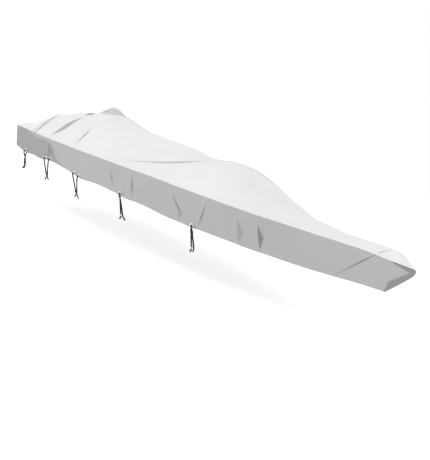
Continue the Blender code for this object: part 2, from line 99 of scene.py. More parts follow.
# %% Table of sections
LENGTH = 5.452
CLOTH = 0.002
GAP = 0.0003  # between cloths that are sewn together
SEAM_DROP = CLOTH + GAP
BOW_RAKE = 0.207  # how far aft of the bow's tip the hem ends
NOSE_BULGE = 0.100
NOSE_ROUND = 0.12
NOSE_FADE = 40  # exponent with which the bulge dies out aft of the stem
STERN_TUCK = 0.02
STERN_TURN = 0.06
NEAR = 0.001  # a small step along the cover, for reading directions


def table(fields, *rows, defaults=()):
    """Rows of values that are read by their fields' names."""
    Row = namedtuple("Row", fields, defaults=defaults)
    return [Row(*row) for row in rows]


SECTIONS = table(
    "place half sheer crown full skirt tuck",
    (0.000, 1.070, -0.008, 0.140, 2.4, 0.270, 0.040),
    (0.020, 1.068, -0.009, 0.190, 2.3, 0.290, 0.040),
    (0.040, 1.067, -0.010, 0.340, 2.3, 0.305, 0.040),
    (0.080, 1.070, -0.015, 0.435, 1.9, 0.290, 0.040),
    (0.150, 1.080, -0.020, 0.480, 1.6, 0.275, 0.040),
    (0.200, 1.080, -0.020, 0.405, 1.8, 0.275, 0.030),
    (0.260, 1.080, -0.020, 0.385, 1.9, 0.290, 0.020),
    (0.382, 1.050, -0.015, 0.360, 1.8, 0.320, 0.020),
    (0.482, 0.980, -0.015, 0.325, 1.6, 0.345, 0.030),
    (0.563, 0.890, -0.025, 0.370, 1.85, 0.370, 0.040),
    (0.643, 0.780, -0.035, 0.205, 3.0, 0.370, 0.050),
    (0.683, 0.710, -0.040, 0.125, 3.0, 0.370, 0.055),
    (0.723, 0.630, -0.045, 0.065, 1.8, 0.375, 0.060),
    (0.824, 0.420, -0.045, 0.055, 1.3, 0.375, 0.050),
    (0.914, 0.230, -0.045, 0.065, 2.0, 0.360, 0.050),
    (0.965, 0.140, -0.060, 0.080, 1.8, 0.330, 0.030),
    (1.000, 0.000, -0.080, 0.000, 2.0, 0.315, 0.000),
)


def smooth(x, xs, ys):
    """A curve through the rows (xs, ys) that doesn't overshoot them, read at x."""
    step = np.diff(xs)
    rate = np.diff(ys) / step
    bends = np.zeros(len(xs) - 2)
    same = rate[:-1] * rate[1:] > 0
    weight_a = 2 * step[1:] + step[:-1]
    weight_b = step[1:] + 2 * step[:-1]
    total = (weight_a + weight_b)[same]
    bends[same] = total / (weight_a[same] / rate[:-1][same] + weight_b[same] / rate[1:][same])
    slope = np.concatenate([[rate[0]], bends, [rate[-1]]])
    i = np.clip(np.searchsorted(xs, x, side="right") - 1, 0, len(step) - 1)
    h = step[i]
    s = (x - xs[i]) / h
    start = (1 + 2 * s) * (1 - s) ** 2 * ys[i] + s * (1 - s) ** 2 * h * slope[i]
    end = s**2 * (3 - 2 * s) * ys[i + 1] + s**2 * (s - 1) * h * slope[i + 1]
    return start + end


def column(rows, name):
    """One named column of a table."""
    return np.array([getattr(row, name) for row in rows], float)


def section(name, place):
    """One column of SECTIONS at any places along the cover."""
    return smooth(np.asarray(place, float), column(SECTIONS, "place"), column(SECTIONS, name))


print(f"{len(SECTIONS)} sections, broadest {2 * column(SECTIONS, 'half').max():.2f} m")

# %% [markdown]
# ## Big folds
#
# Cloth over a hull humps over the gear at the stern, sags into soft folds on top, and stands out in
# pleats down the sides. These large shapes are the same as in the measured model.

# %% Tables of the large folds
LUMP_PLACE = 0.063  # the gear under the cloth at the stern
LUMP_SIDE = 0.15
LUMP_ALONG = 0.24
LUMP_ACROSS = 0.17
LUMP_RISE = 0.135

FOLDS = table(
    "from_place from_side to_place to_side spread rise",
    (0.085, -1.00, 0.050, -0.62, 0.050, 0.030),
    (0.146, -0.98, 0.122, -0.50, 0.060, -0.030),
    (0.116, -0.45, 0.092, -0.26, 0.045, -0.020),
    (0.246, -0.97, 0.193, -0.62, 0.050, -0.022),
    (0.403, -0.96, 0.539, -0.28, 0.060, -0.026),
    (0.941, -1.00, 0.955, -0.13, 0.035, -0.008),
    (0.100, 0.98, 0.085, 0.55, 0.060, -0.028),
    (0.205, 0.98, 0.160, 0.60, 0.055, -0.022),
    (0.387, 0.96, 0.522, 0.35, 0.065, -0.024),
)
FOLD_FADE = 8

PLEATS = table(
    "high_place high_down low_place low_down spread rise",  # down is a share of the skirt's depth
    (0.153, 0.18, 0.157, 0.80, 0.045, 0.020),
    (0.380, 0.15, 0.401, 0.88, 0.030, 0.010),
    (0.444, 0.12, 0.455, 0.94, 0.030, 0.011),
    (0.550, 0.22, 0.578, 0.94, 0.040, 0.014),
    (0.628, 0.10, 0.624, 0.80, 0.030, 0.012),
    (0.693, 0.22, 0.709, 0.94, 0.050, 0.022),
    (0.734, 0.24, 0.753, 0.94, 0.055, 0.026),
    (0.941, 0.02, 0.907, 0.98, 0.035, 0.012),
)

WAVES = table(
    "place spread drop",  # where the hem hangs lower
    (0.065, 0.020, 0.010),
    (0.120, 0.026, 0.024),
    (0.215, 0.025, 0.008),
    (0.290, 0.042, 0.029),
    (0.442, 0.022, 0.013),
    (0.607, 0.018, 0.007),
)
print(len(FOLDS), "folds,", len(PLEATS), "pleats and", len(WAVES), "waves of the hem")


# %% The top's outer face
def bell(x):
    return np.exp(-(x**2))


def plan_point(place, side):
    """A point of the top panel seen from above: x and y."""
    place = np.asarray(place, float)
    return LENGTH * (place - 0.5), side * section("half", place)


def distance_from(start, end, x, y):
    """Each point's distance from the straight line between two others."""
    run = np.subtract(end, start)
    share = ((x - start[0]) * run[0] + (y - start[1]) * run[1]) / np.hypot(*run) ** 2
    share = np.clip(share, 0, 1)
    return np.hypot(x - start[0] - share * run[0], y - start[1] - share * run[1])


def top_height(place, side):
    """The top panel's outer face above the sections' zero."""
    place = np.asarray(place, float)
    x, y = plan_point(place, side)
    z = section("sheer", place) + section("crown", place) * (1 - abs(side) ** section("full", place))
    lump_x = (x - LENGTH * (LUMP_PLACE - 0.5)) / LUMP_ALONG
    lump_y = (y - LUMP_SIDE * section("half", place)) / LUMP_ACROSS
    z = z + LUMP_RISE * bell(lump_x) * bell(lump_y)
    for fold in FOLDS:
        start = plan_point(fold.from_place, fold.from_side)
        end = plan_point(fold.to_place, fold.to_side)
        away = distance_from(start, end, x, y)
        z = z + fold.rise * bell(away / fold.spread) * (1 - abs(side) ** FOLD_FADE)
    return z


LIFT = float(top_height(0.5, 0.0)) - CLOTH


def top_point(place, side):
    """A point of the top panel's outer face, in the cover's frame."""
    x, y = plan_point(place, side)
    return np.stack(np.broadcast_arrays(x, y, top_height(place, side) - LIFT), -1)


print(f"the origin lies {LIFT:.3f} m above the sections' zero")


# %% A skirt's outer face
def skirt_depth(place):
    """The side skirt's depth, with the hem's waves."""
    depth = section("skirt", place)
    for wave in WAVES:
        depth = depth + wave.drop * bell((place - wave.place) / wave.spread)
    return depth


def pleat_rise(place, down):
    """How far the pleats push the skirt outwards."""
    rise = 0.0
    for pleat in PLEATS:
        share = (down - pleat.high_down) / (pleat.low_down - pleat.high_down)
        middle = pleat.high_place + (pleat.low_place - pleat.high_place) * share
        strength = np.maximum(0.0, 1 - (2 * share - 1) ** 2)
        rise = rise + pleat.rise * strength * bell(LENGTH * (place - middle) / pleat.spread)
    return rise


def outward(place):
    """The starboard skirt's outward direction, seen from above."""
    wide = section("half", np.minimum(place + NEAR, 1)) - section("half", np.maximum(place - NEAR, 0))
    x = -wide / (2 * NEAR * LENGTH)
    return np.stack([x, -np.ones_like(x), np.zeros_like(x)], -1) / np.hypot(x, 1)[..., None]


def side_point(place, down, relief=0.0):
    """A point of the starboard skirt's outer face; down is 0 at the gunwale and 1 at the hem."""
    place = np.asarray(place, float)
    half = section("half", place)
    x = LENGTH * (place - 0.5)
    forward = np.maximum(0.0, (place - 0.5) / 0.5)
    aft = np.maximum(0.0, 1 - (place / STERN_TURN) ** 2)
    hem_x = x - BOW_RAKE * forward**2 + STERN_TUCK * aft
    hem_y = -np.maximum(half - section("tuck", place), 0.0)
    hem_z = section("sheer", place) - skirt_depth(place)
    nose = NOSE_BULGE * forward**NOSE_FADE * (1 - down) * (1 - np.exp(-down / NOSE_ROUND))
    flat = np.stack([
        x + (hem_x - x) * down + nose,
        -half + (hem_y + half) * down,
        section("sheer", place) + (hem_z - section("sheer", place)) * down - LIFT,
    ], -1)
    return flat + outward(place) * (pleat_rise(place, down) + relief)[..., None]


print("the hem starts at", side_point(0.0, 1.0).round(3))

# %% [markdown]
# ## The ties' routes
#
# Each tie is one cord, through an eyelet or behind the cloth through a pair of them, with a stud that
# pins its two legs side by side above their splayed ends. A few points in the tie's own directions,
# along the hem, out and down, are enough: a curve through them, read every few millimetres, gives the
# smooth line that a hanging cord has.

# %% Table of ties
RING_WIRE = 0.0055
RING_RADIUS = 0.0170
RING_ABOVE_HEM = 0.0245
PAIR_SPACING = 0.104
CORD_RADIUS = 0.0085
CORD_SEAT = 0.0008
STUD_SHANK = 0.004
STUD_FIT = 0.0005
STUD_HEAD = 0.0095
STUD_HEAD_DEPTH = 0.005
TIE_INWARD = 0.12  # how far a tie leans in under the cover, for each metre down

TIES = table(
    "number x eyelets drop lean tail_aft tail_fore",
    (1, -2.463, 1, 0.198, 0.12, -0.046, -0.010),
    (2, -1.895, 2, 0.222, 0.22, -0.040, 0.044),
    (3, -1.217, 2, 0.232, 0.34, -0.036, 0.048),
    (4, -0.428, 1, 0.252, 0.37, -0.040, 0.052),
    (5, 0.571, 1, 0.242, 0.31, -0.036, 0.000),
)
STUD_OUT = {1: 0.0, 2: 0.018}  # how far out the stud lies, by the tie's number of eyelets
LEG_CLOSE = 0.68
LEG_APART = 0.36
LEG_BESIDE = 0.026
TAIL_AFT = 0.058
TAIL_FORE = 0.046
TAIL_OUT = 0.004
TAIL_ROUTE = ((0.085, 0.26), (0.34, 0.50), (1.00, 1.00))  # shares of a free end's splay and drop
LOOP_ROUTE = (  # along the hem, out and down, for one leg of a tie through one eyelet
    (0.0000, 0.0000, 0.0000),
    (0.0055, 0.0142, 0.0026),
    (0.0120, 0.0248, 0.0105),
    (0.0190, 0.0308, 0.0235),
    (0.0240, 0.0310, 0.0370),
    (0.0250, 0.0270, 0.0510),
    (0.0215, 0.0180, 0.0680),
    (0.0155, 0.0100, 0.0880),
    (0.0110, 0.0040, 0.1080),
)
VEE_ROUTE = (  # the same through a pair, from behind the cloth
    (0.0000, -0.0500, -0.0120),
    (0.0210, -0.0465, -0.0115),
    (0.0385, -0.0360, -0.0090),
    (0.0499, -0.0182, -0.0034),
    (0.0520, 0.0000, 0.0000),
    (0.0520, 0.0154, 0.0042),
    (0.0505, 0.0245, 0.0165),
    (0.0468, 0.0272, 0.0350),
    (0.0385, 0.0250, 0.0660),
)
print(f"{2 * len(TIES)} ties, {2 * sum(t.eyelets for t in TIES)} eyelets")

# %% Where the eyelets sit
SIDES = (("s", 1), ("p", -1))  # starboard, and its mirror image to port
PLACES_READ = 4001
EYELET_PLACE = 4 * NEAR  # an eyelet's plane is read from points this far round it
EYELET_DOWN = 40 * NEAR


def unit(vector):
    return vector / np.linalg.norm(vector)


def place_of(x, down):
    """The place whose skirt point at that share down lies at x."""
    places = np.linspace(0, 1, PLACES_READ)
    return float(np.interp(x, side_point(places, down)[:, 0], places))


def eyelet_frame(x):
    """The middle of an eyelet in the starboard skirt, and the directions along the hem and outwards."""
    down = 1 - RING_ABOVE_HEM / float(skirt_depth(place_of(x, 1)))
    place = place_of(x, down)
    run = side_point(place + EYELET_PLACE, down) - side_point(place - EYELET_PLACE, down)
    rise = side_point(place, down - EYELET_DOWN) - side_point(place, min(down + EYELET_DOWN, 1))
    out = unit(np.cross(run, rise))
    level = -unit(np.cross(out, (0.0, 0.0, 1.0)))
    return side_point(place, down) - out * CLOTH / 2, level, out


def flipped(vectors, turn):
    """Starboard points or directions, or their mirror image to port."""
    return np.asarray(vectors) * (1, turn, 1)


EYELETS = {}
for tie in TIES:
    shifts = {"": 0.0} if tie.eyelets == 1 else {"a": -0.5, "b": 0.5}
    for letter, shift in shifts.items():
        EYELETS[f"{tie.number}{letter}"] = eyelet_frame(tie.x + shift * PAIR_SPACING)
print({label: middle.round(3).tolist() for label, (middle, _, _) in EYELETS.items()})


# %% The routes
def catmull(points, step):
    """A smooth curve through points, read about every step."""
    ends = [2 * points[0] - points[1], *points, 2 * points[-1] - points[-2]]
    curve = []
    for a, b, c, d in zip(ends, ends[1:], ends[2:], ends[3:]):
        steps = max(1, round(float(np.linalg.norm(c - b)) / step))
        t = (np.arange(steps) / steps)[:, None]
        bend, twist = 2 * a - 5 * b + 4 * c - d, 3 * b - a - 3 * c + d
        curve.append(0.5 * (2 * b + (c - a) * t + bend * t**2 + twist * t**3))
    return np.vstack([*curve, points[-1]])


def half_route(tie, tail, behind):
    """Half of a tie's route, from its middle in or behind the cloth down to one free end."""
    seat = RING_RADIUS - RING_WIRE - CORD_RADIUS - CORD_SEAT
    face = -1 if behind and tie.eyelets == 1 else 1
    rows = LOOP_ROUTE if tie.eyelets == 1 else VEE_ROUTE
    route = [(along, face * out, down + seat) for along, out, down in rows]
    beside = (STUD_SHANK + CORD_RADIUS + STUD_FIT) * np.hypot(1, tie.lean)
    stud_out = STUD_OUT[tie.eyelets]
    apart = (route[-1][0] - beside, route[-1][1] - stud_out)
    closed = (beside + LEG_APART * apart[0], stud_out + LEG_APART * apart[1], LEG_CLOSE * tie.drop)
    route += [closed, (beside, stud_out, tie.drop - LEG_BESIDE), (beside, stud_out, tie.drop)]
    hang = TAIL_AFT if behind else TAIL_FORE
    for aside, down in TAIL_ROUTE:
        along = beside + aside * (tail - beside)
        route.append((along, stud_out + TAIL_OUT * down**2, tie.drop + hang * down))
    return route


def tie_route(tie):
    """The whole route of a starboard tie, its stud's middle, and the stud's axis."""
    middle, level, out = eyelet_frame(tie.x)
    if tie.eyelets == 2:
        aft, fore = EYELETS[f"{tie.number}a"][0], EYELETS[f"{tie.number}b"][0]
        middle = (aft + fore) / 2
        level = unit(fore - aft)
    down = unit(np.array([0.0, 0.0, -1.0]) + tie.lean * level - TIE_INWARD * out)
    fore_half = half_route(tie, tie.tail_fore, behind=False)
    aft_half = [(-a, o, d) for a, o, d in half_route(tie, -tie.tail_aft, behind=True)]
    points = [middle + a * level + o * out + d * down for a, o, d in aft_half[:0:-1] + fore_half]
    stud = middle + STUD_OUT[tie.eyelets] * out + tie.drop * down
    return points, stud, unit(out - np.dot(out, down) * down)


def steps_of(path):
    """The distances from each point of a path to the next."""
    return np.linalg.norm(np.diff(path, axis=0), axis=1)


CORD_STEP = 0.0025
ROUTES = {}
for tie in TIES:
    points, stud, axis = tie_route(tie)
    path = catmull(points, CORD_STEP)
    ROUTES[tie.number] = (path, stud, axis)
    print(f"tie {tie.number}: {steps_of(path).sum():.3f} m of cord in {len(path)} steps")

# %% [markdown]
# ## Shader arithmetic
#
# A finish is a little network of nodes. Written out one link at a time it hides the idea, so a small
# class wraps a socket: adding or multiplying two of them adds the Math node that does it, and one
# method makes any other node. A finish then reads like the formula that it is.


# %% A socket that can be used in sums
class Wire:
    """An output socket in a material's node tree."""

    def __init__(self, tree, socket=None):
        self.tree = tree
        self.socket = socket

    def node(self, kind, settings=None, inputs=None, output=0):
        """Adds a node. Its settings are set first, and then its inputs get their values or links."""
        made = self.tree.nodes.new(kind)
        for name, value in (settings or {}).items():
            setattr(made, name, value)
        for name, value in (inputs or {}).items():
            if isinstance(value, Wire):
                self.tree.links.new(value.socket, made.inputs[name])
            else:
                made.inputs[name].default_value = value
        return Wire(self.tree, made.outputs[output])

    def math(self, operation, *values):
        return self.node("ShaderNodeMath", {"operation": operation}, dict(enumerate(values)))

    def measure(self, name):
        """One of the measures that the mesh carries at its points."""
        return self.node("ShaderNodeAttribute", {"attribute_name": name}, output="Fac")

    def __add__(self, other):
        return self.math("ADD", self, other)

    def __sub__(self, other):
        return self.math("SUBTRACT", self, other)

    def __rsub__(self, other):
        return self.math("SUBTRACT", other, self)

    def __mul__(self, other):
        return self.math("MULTIPLY", self, other)

    def __truediv__(self, other):
        return self.math("DIVIDE", self, other)

    def __lt__(self, other):
        return self.math("LESS_THAN", self, other)

    __radd__ = __add__
    __rmul__ = __mul__


def of(operation, wire):
    """A Math node with one input, such as SINE."""
    return wire.math(operation, wire)


def mixed(factor, first, second):
    """Two colours mixed: the first where the factor is 0, the second where it is 1."""
    inputs = {0: factor, 6: first, 7: second}
    return factor.node("ShaderNodeMix", {"data_type": "RGBA"}, inputs, output=2)


def lesser(a, b):
    """The lesser of two values, for wires as well as for points."""
    return a.math("MINIMUM", a, b) if isinstance(a, Wire) else np.minimum(a, b)


def clamped(a):
    """A value kept from 0 to 1, for wires as well as for points."""
    return a.node("ShaderNodeClamp", {}, {0: a}) if isinstance(a, Wire) else np.clip(a, 0, 1)


def new_finish(name, constants):
    """A new material, with constants for its shader, and a wire to build the rest with."""
    made = bpy.data.materials.new(name)
    made.use_nodes = True
    for socket, value in constants.items():
        made.node_tree.nodes["Principled BSDF"].inputs[socket].default_value = value
    return made, Wire(made.node_tree)


def fed(made, colour, roughness, normal):
    """A material with its three wires linked to its shader."""
    shader = made.node_tree.nodes["Principled BSDF"]
    for name, wire in (("Base Color", colour), ("Roughness", roughness), ("Normal", normal)):
        wire.tree.links.new(wire.socket, shader.inputs[name])
    return made


def specks_of(tree, scale, detail, rough):
    """Soft random values around 0.5, from a point's place on the piece."""
    place = tree.node("ShaderNodeTexCoord", output="Object")
    inputs = {"Vector": place, "Scale": scale, "Detail": detail, "Roughness": rough}
    return tree.node("ShaderNodeTexNoise", {}, inputs)


def bumped(height, strength, distance, under=None):
    """A bump from a height, over the normal of another bump if there is one."""
    inputs = {"Strength": strength, "Distance": distance, "Height": height}
    if under is not None:
        inputs["Normal"] = under
    return height.node("ShaderNodeBump", {}, inputs)


print("wires are ready")

# %% [markdown]
# ## Creases
#
# Between the big folds the cloth has short crisp creases, from being packed and pulled to the ties.
# Each is a sliver: a chord, perhaps bowed, whose width swells to a peak and closes again, and whose
# left edge may fade. The mesh needs creases as relief and the finish paints them in as shade, so one
# formula takes points as NumPy arrays or as wires. Each panel has its own flat coordinates in metres,
# along and across, and left of a crease is the side towards the stern.

# %% Tables of creases
CREASE_SOFT = 0.006  # a crease's shade fades over this distance at its edges


def crease_table(*rows):
    return table("start end peak left right dark rise bow fade", *rows, defaults=(0.0, 0.0, CREASE_SOFT))


TOP_CREASES = crease_table(
    ((0.1264, -1.50), (0.0455, -0.60), 0.52, 0.070, 0.012, 0.30),
    ((0.1130, -1.30), (0.0520, -0.60), 0.58, 0.012, 0.020, 0.90, 0.006),
    ((0.1390, -0.97), (0.1080, -0.46), 0.34, 0.006, 0.044, 0.84, 0.007),
    ((0.1390, -0.97), (0.1080, -0.46), 0.62, 0.034, 0.006, 0.84),
    ((0.1040, -0.42), (0.0700, -0.16), 0.50, 0.026, 0.050, 0.95, 0.004),
    ((0.2400, -0.97), (0.1820, -0.57), 0.55, 0.006, 0.024, 0.84, 0.005),
    # this row paints shade on the far face of the lump at the stern, soft on its port side
    ((0.0470, 0.08), (0.1662, 0.01), 0.50, 0.540, 0.004, 0.56, 0.000, -0.230, 0.240),
    ((0.0930, -0.17), (0.0500, 0.10), 0.50, 0.006, 0.050, 0.80),
    ((0.3950, -0.92), (0.5200, -0.16), 0.60, 0.016, 0.016, 0.72, 0.003, -0.070),
    ((0.5000, -0.26), (0.5900, 0.06), 0.50, 0.030, 0.024, 0.70, 0.000, 0.012),
    ((0.5700, 0.00), (0.6240, 0.46), 0.50, 0.020, 0.016, 0.60),
    ((0.9400, -1.00), (0.9550, -0.03), 0.40, 0.008, 0.010, 0.75, 0.003),
    ((0.1100, 0.98), (0.0850, 0.55), 0.40, 0.014, 0.010, 0.80, 0.006),
    ((0.2050, 0.98), (0.1600, 0.60), 0.55, 0.008, 0.010, 0.80, 0.005),
    ((0.3870, 0.96), (0.5220, 0.35), 0.50, 0.010, 0.010, 0.60, 0.003, 0.090),
)
SKIRT_CREASES = crease_table(
    ((0.152, 0.17), (0.146, 0.84), 0.64, 0.006, 0.100, 0.64, 0.004),
    ((0.380, 0.20), (0.401, 0.83), 0.60, 0.010, 0.012, 0.70, 0.004),
    ((0.444, 0.14), (0.455, 0.93), 0.50, 0.012, 0.014, 0.72, 0.004, -0.010),
    ((0.550, 0.24), (0.580, 0.78), 0.78, 0.008, 0.016, 0.68, 0.004),
    ((0.580, 0.66), (0.576, 0.94), 0.30, 0.012, 0.006, 0.68),
    ((0.630, 0.12), (0.621, 0.93), 0.60, 0.010, 0.016, 0.70, 0.004),
    ((0.694, 0.24), (0.709, 0.93), 0.70, 0.004, 0.050, 0.35, 0.005),
    ((0.735, 0.27), (0.753, 0.95), 0.52, 0.004, 0.052, 0.80, 0.006),
    ((0.943, 0.00), (0.901, 0.99), 0.30, 0.010, 0.014, 0.76, 0.004),
)
STERN_CREASES = crease_table(
    ((-0.62, 0.12), (-0.56, 0.90), 0.55, 0.006, 0.012, 0.46, 0.004),
    ((-0.15, 0.20), (-0.19, 0.92), 0.60, 0.010, 0.006, 0.46, 0.004, 0.010),
    ((0.48, 0.10), (0.55, 0.94), 0.50, 0.006, 0.016, 0.60, 0.005),
)
STERN_ALONG = -1.5  # keeps the stern skirt's coordinates clear of the side skirts' own
STERN_DEPTH = float(skirt_depth(0.0))


def in_metres(rows, flat):
    """Creases with their ends in a panel's flat coordinates."""
    return [row._replace(start=flat(*row.start), end=flat(*row.end)) for row in rows]


def skirt_flat(place, down):
    return LENGTH * place, down * float(skirt_depth(place))


def stern_flat(share, down):
    return STERN_ALONG + share * SECTIONS[0].half, down * STERN_DEPTH


top_creases = in_metres(TOP_CREASES, lambda place, side: tuple(map(float, plan_point(place, side))))
skirt_creases = in_metres(SKIRT_CREASES, skirt_flat) + in_metres(STERN_CREASES, stern_flat)
print(len(top_creases), "creases on top and", len(skirt_creases), "on the skirts")

# %% The shape of a crease
CREASE_BREADTH = 0.020
END_FADE = 8.0  # a crease has its full shade from an eighth of its widest


def crease_shape(along, across, crease):
    """A crease's width as a share of its peak, and the distance to its left, at any point."""
    (x, y), (end_x, end_y) = crease.start, crease.end
    run_x, run_y = end_x - x, end_y - y
    length = math.hypot(run_x, run_y)
    share = (along - x) * (run_x / length**2) + (across - y) * (run_y / length**2)
    away = (across - y) * (run_x / length) - (along - x) * (run_y / length)
    if crease.bow:
        away = away - (4 * crease.bow) * (share * (1 - share))
    width = lesser(share / crease.peak, (1 - share) / (1 - crease.peak))
    return width, away


def crease_shade(along, across, crease):
    """How much painted shade a crease puts on the cloth at any point."""
    width, away = crease_shape(along, across, crease)
    from_right = (away + crease.right * width) / CREASE_SOFT
    from_left = (crease.left * width - away) / crease.fade
    return clamped(lesser(from_right, from_left) + 0.5) * clamped(END_FADE * width) * crease.dark


def crease_relief(along, across, creases):
    """The ridge and the dip that lie beside each crease."""
    relief = 0.0
    for crease in creases:
        width, away = crease_shape(along, across, crease)
        swell = -away / CREASE_BREADTH * bell(away / CREASE_BREADTH)
        relief = relief + crease.rise * swell * clamped(width)
    return relief


PROBE = (4.08, 0.20)  # a point in the deepest crease, forward on the skirt
probe = crease_shade(*np.array(PROBE)[:, None], skirt_creases[7])
print(f"shade in the deepest crease: {probe[0]:.2f}")

# %% [markdown]
# ## The cloth's finish
#
# The cloth is coated woven polyester. Close up it has a weave and lines of stitching, and its coating
# is a little uneven. Its creases, and a patch low on the skirts at the stern, get painted shade. The
# finish could read a point's place in space, but then the weave and the stitches wouldn't follow the
# cloth's bends. So the mesh carries measures for it: the way along and across the panel, the distance
# from the nearest sewn edge, and how far inside the patch of painted shade a point lies.

# %% Cloth
THREAD = 0.0022  # from one thread to the next
STITCH = 0.0060
STITCH_SHARE = 0.72  # the part of a stitch's length that shows as thread
STITCH_WIDTH = 0.0008
PUCKER = 0.019
PUCKERED = 0.022  # how far from a sewn edge the cloth is drawn up by its stitches
SHADE_SOFT = 0.020
# how dark the painted shade in the patch at the stern is
SHADE_PATCH_DARK = 0.40
WORN = 0.95  # the colour's share that is left where the coating is worn
WORN_FROM = 0.4
WORN_GAIN = 2.5
SPECKLED = 0.04
THREAD_SHOWS = 0.7
WEAVE_BUMP = (0.5, 0.0003)  # strength and distance
PUCKER_BUMP = (0.35, 0.0008)
STITCH_BUMP = (0.7, 0.0008)


def stitch_row(along, edge, distance):
    """1 on the stitches of the row that runs at this distance from a sewn edge."""
    near = of("ABSOLUTE", edge - distance) < STITCH_WIDTH
    return near * (of("FRACT", along / STITCH) < STITCH_SHARE)


def cloth_finish(name, colour, painted_shade_colour, thread_colour, rows, creases):
    """Woven cloth with painted shade in its creases and its shade patch, and with two rows of stitches at
    distances from its sewn edges.
    """
    constants = {"Specular IOR Level": 0.35, "Sheen Weight": 0.10, "Sheen Roughness": 0.5}
    made, tree = new_finish(name, constants)
    along, across, edge, in_shade_patch = map(tree.measure, ("along", "across", "edge", "in_shade_patch"))
    patches = specks_of(tree, 1.6, 4.0, 0.55)
    specks = specks_of(tree, 60.0, 2.0, 0.6)
    # painted shade: the patch at the stern and each crease mix the cloth towards its shade colour
    fold = clamped(in_shade_patch / SHADE_SOFT + 0.5) * SHADE_PATCH_DARK
    for crease in creases:
        fold = fold.math("MAXIMUM", fold, crease_shade(along, across, crease))
    stitches = stitch_row(along, edge, rows[0]) + stitch_row(along, edge, rows[1])
    worn = tuple(WORN * c for c in colour)
    cloth = mixed(clamped((patches - WORN_FROM) * WORN_GAIN), (*colour, 1), (*worn, 1))
    cloth = mixed(clamped(fold + SPECKLED * (specks - 0.5)), cloth, (*painted_shade_colour, 1))
    sewn = mixed(stitches * THREAD_SHOWS, cloth, (*thread_colour, 1))
    turns = 2 * math.pi / THREAD
    weave = of("SINE", along * turns) * of("SINE", across * turns)
    puckers = of("SINE", along * (2 * math.pi / PUCKER)) * (edge < PUCKERED)
    woven = bumped(weave + 0.5 * specks, *WEAVE_BUMP)
    drawn = bumped(puckers, *PUCKER_BUMP, woven)
    return fed(made, sewn, 0.66 + 0.14 * patches + 0.08 * specks, bumped(stitches, *STITCH_BUMP, drawn))


SEAM_ROWS = (0.0055, 0.0135)
HEM_ROWS = (0.0055, 0.0400)
CLOTHS = {  # the cloth's colour, the colour of its painted shade, its thread's, the rows of stitches and the creases
    # painted light and shade: the top's pale colour and the skirts' grey stand for one cloth, lit on top and
    # shaded on the sides
    "pale_cloth": ((0.732, 0.724, 0.744), (0.360, 0.336, 0.336), (0.80, 0.80, 0.81), SEAM_ROWS, top_creases),
    "grey_cloth": ((0.371, 0.377, 0.376), (0.165, 0.157, 0.157), (0.50, 0.50, 0.50), HEM_ROWS, skirt_creases),
    "dark_cloth": ((0.235, 0.227, 0.228), (0.140, 0.135, 0.135), (0.34, 0.34, 0.34), SEAM_ROWS, ()),
}
finishes = {name: cloth_finish(name, *cloth) for name, cloth in CLOTHS.items()}
print("cloth finishes:", ", ".join(finishes))

# %% [markdown]
# ## Hard finishes
#
# The eyelet rings are pale rolled metal, the studs are white moulded plastic, and the cords are black
# braid. Each gets what it shows close up: fine scratches and wear, a faint grain, and dusty crowns.


# %% Metal, plastic and braid
def ring_finish():
    made, tree = new_finish("ring_metal", {"Metallic": 0.9})
    scratches = specks_of(tree, 420.0, 2.0, 0.7)
    wear = specks_of(tree, 45.0, 3.0, 0.6)
    colour = mixed(wear, (0.90, 0.90, 0.89, 1), (0.72, 0.72, 0.71, 1))
    return fed(made, colour, 0.24 + 0.25 * wear + 0.1 * scratches, bumped(scratches, 0.25, 0.0002))


def plastic_finish():
    made, tree = new_finish("white_plastic", {})
    grain = specks_of(tree, 900.0, 2.0, 0.5)
    grime = specks_of(tree, 70.0, 3.0, 0.6)
    colour = mixed(grime, (0.90, 0.89, 0.87, 1), (0.80, 0.78, 0.74, 1))
    return fed(made, colour, 0.32 + 0.2 * grime, bumped(grain, 0.2, 0.0001))


def braid_finish():
    made, tree = new_finish("black_cord", {"Specular IOR Level": 0.25})
    dust = specks_of(tree, 30.0, 3.0, 0.6)
    fibres = specks_of(tree, 700.0, 2.0, 0.6)
    colour = mixed(tree.measure("crown") * dust, (0.008, 0.008, 0.010, 1), (0.040, 0.039, 0.040, 1))
    return fed(made, colour, 0.62 + 0.2 * dust, bumped(fibres, 0.3, 0.0004))


finishes.update(ring_metal=ring_finish(), white_plastic=plastic_finish(), black_cord=braid_finish())
print("all finishes:", ", ".join(finishes))


# %% Pieces ride on the frame
def piece(name, mesh, slot, solid):
    """A finished piece that rides on the cover's one body and stands for one measured solid."""
    made = bpy.data.objects.new(name, mesh)
    scene.collection.objects.link(made)
    mesh.materials.append(finishes[slot])
    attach(made, "root")
    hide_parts(solid)
    return made


def grid_mesh(name, points, measures, wrap=False, kept=None):
    """A mesh through a grid of points. wrap joins the last column to the first, as round a tube."""
    rows, count = points.shape[:2]
    index = np.arange(rows * count).reshape(rows, count)
    if wrap:
        index = np.hstack([index, index[:, :1]])
    faces = np.stack([index[:-1, :-1], index[:-1, 1:], index[1:, 1:], index[1:, :-1]], -1)
    faces = faces.reshape(-1, 4) if kept is None else faces[kept]
    used, corners = np.unique(faces, return_inverse=True)
    mesh = bpy.data.meshes.new(name)
    mesh.from_pydata(points.reshape(-1, 3)[used], [], corners.reshape(faces.shape).tolist())
    for measure, values in measures.items():
        values = np.broadcast_to(values, points.shape[:2]).ravel()[used].astype(np.float32)
        mesh.attributes.new(measure, "FLOAT", "POINT").data.foreach_set("value", values)
    mesh.shade_smooth()
    return mesh


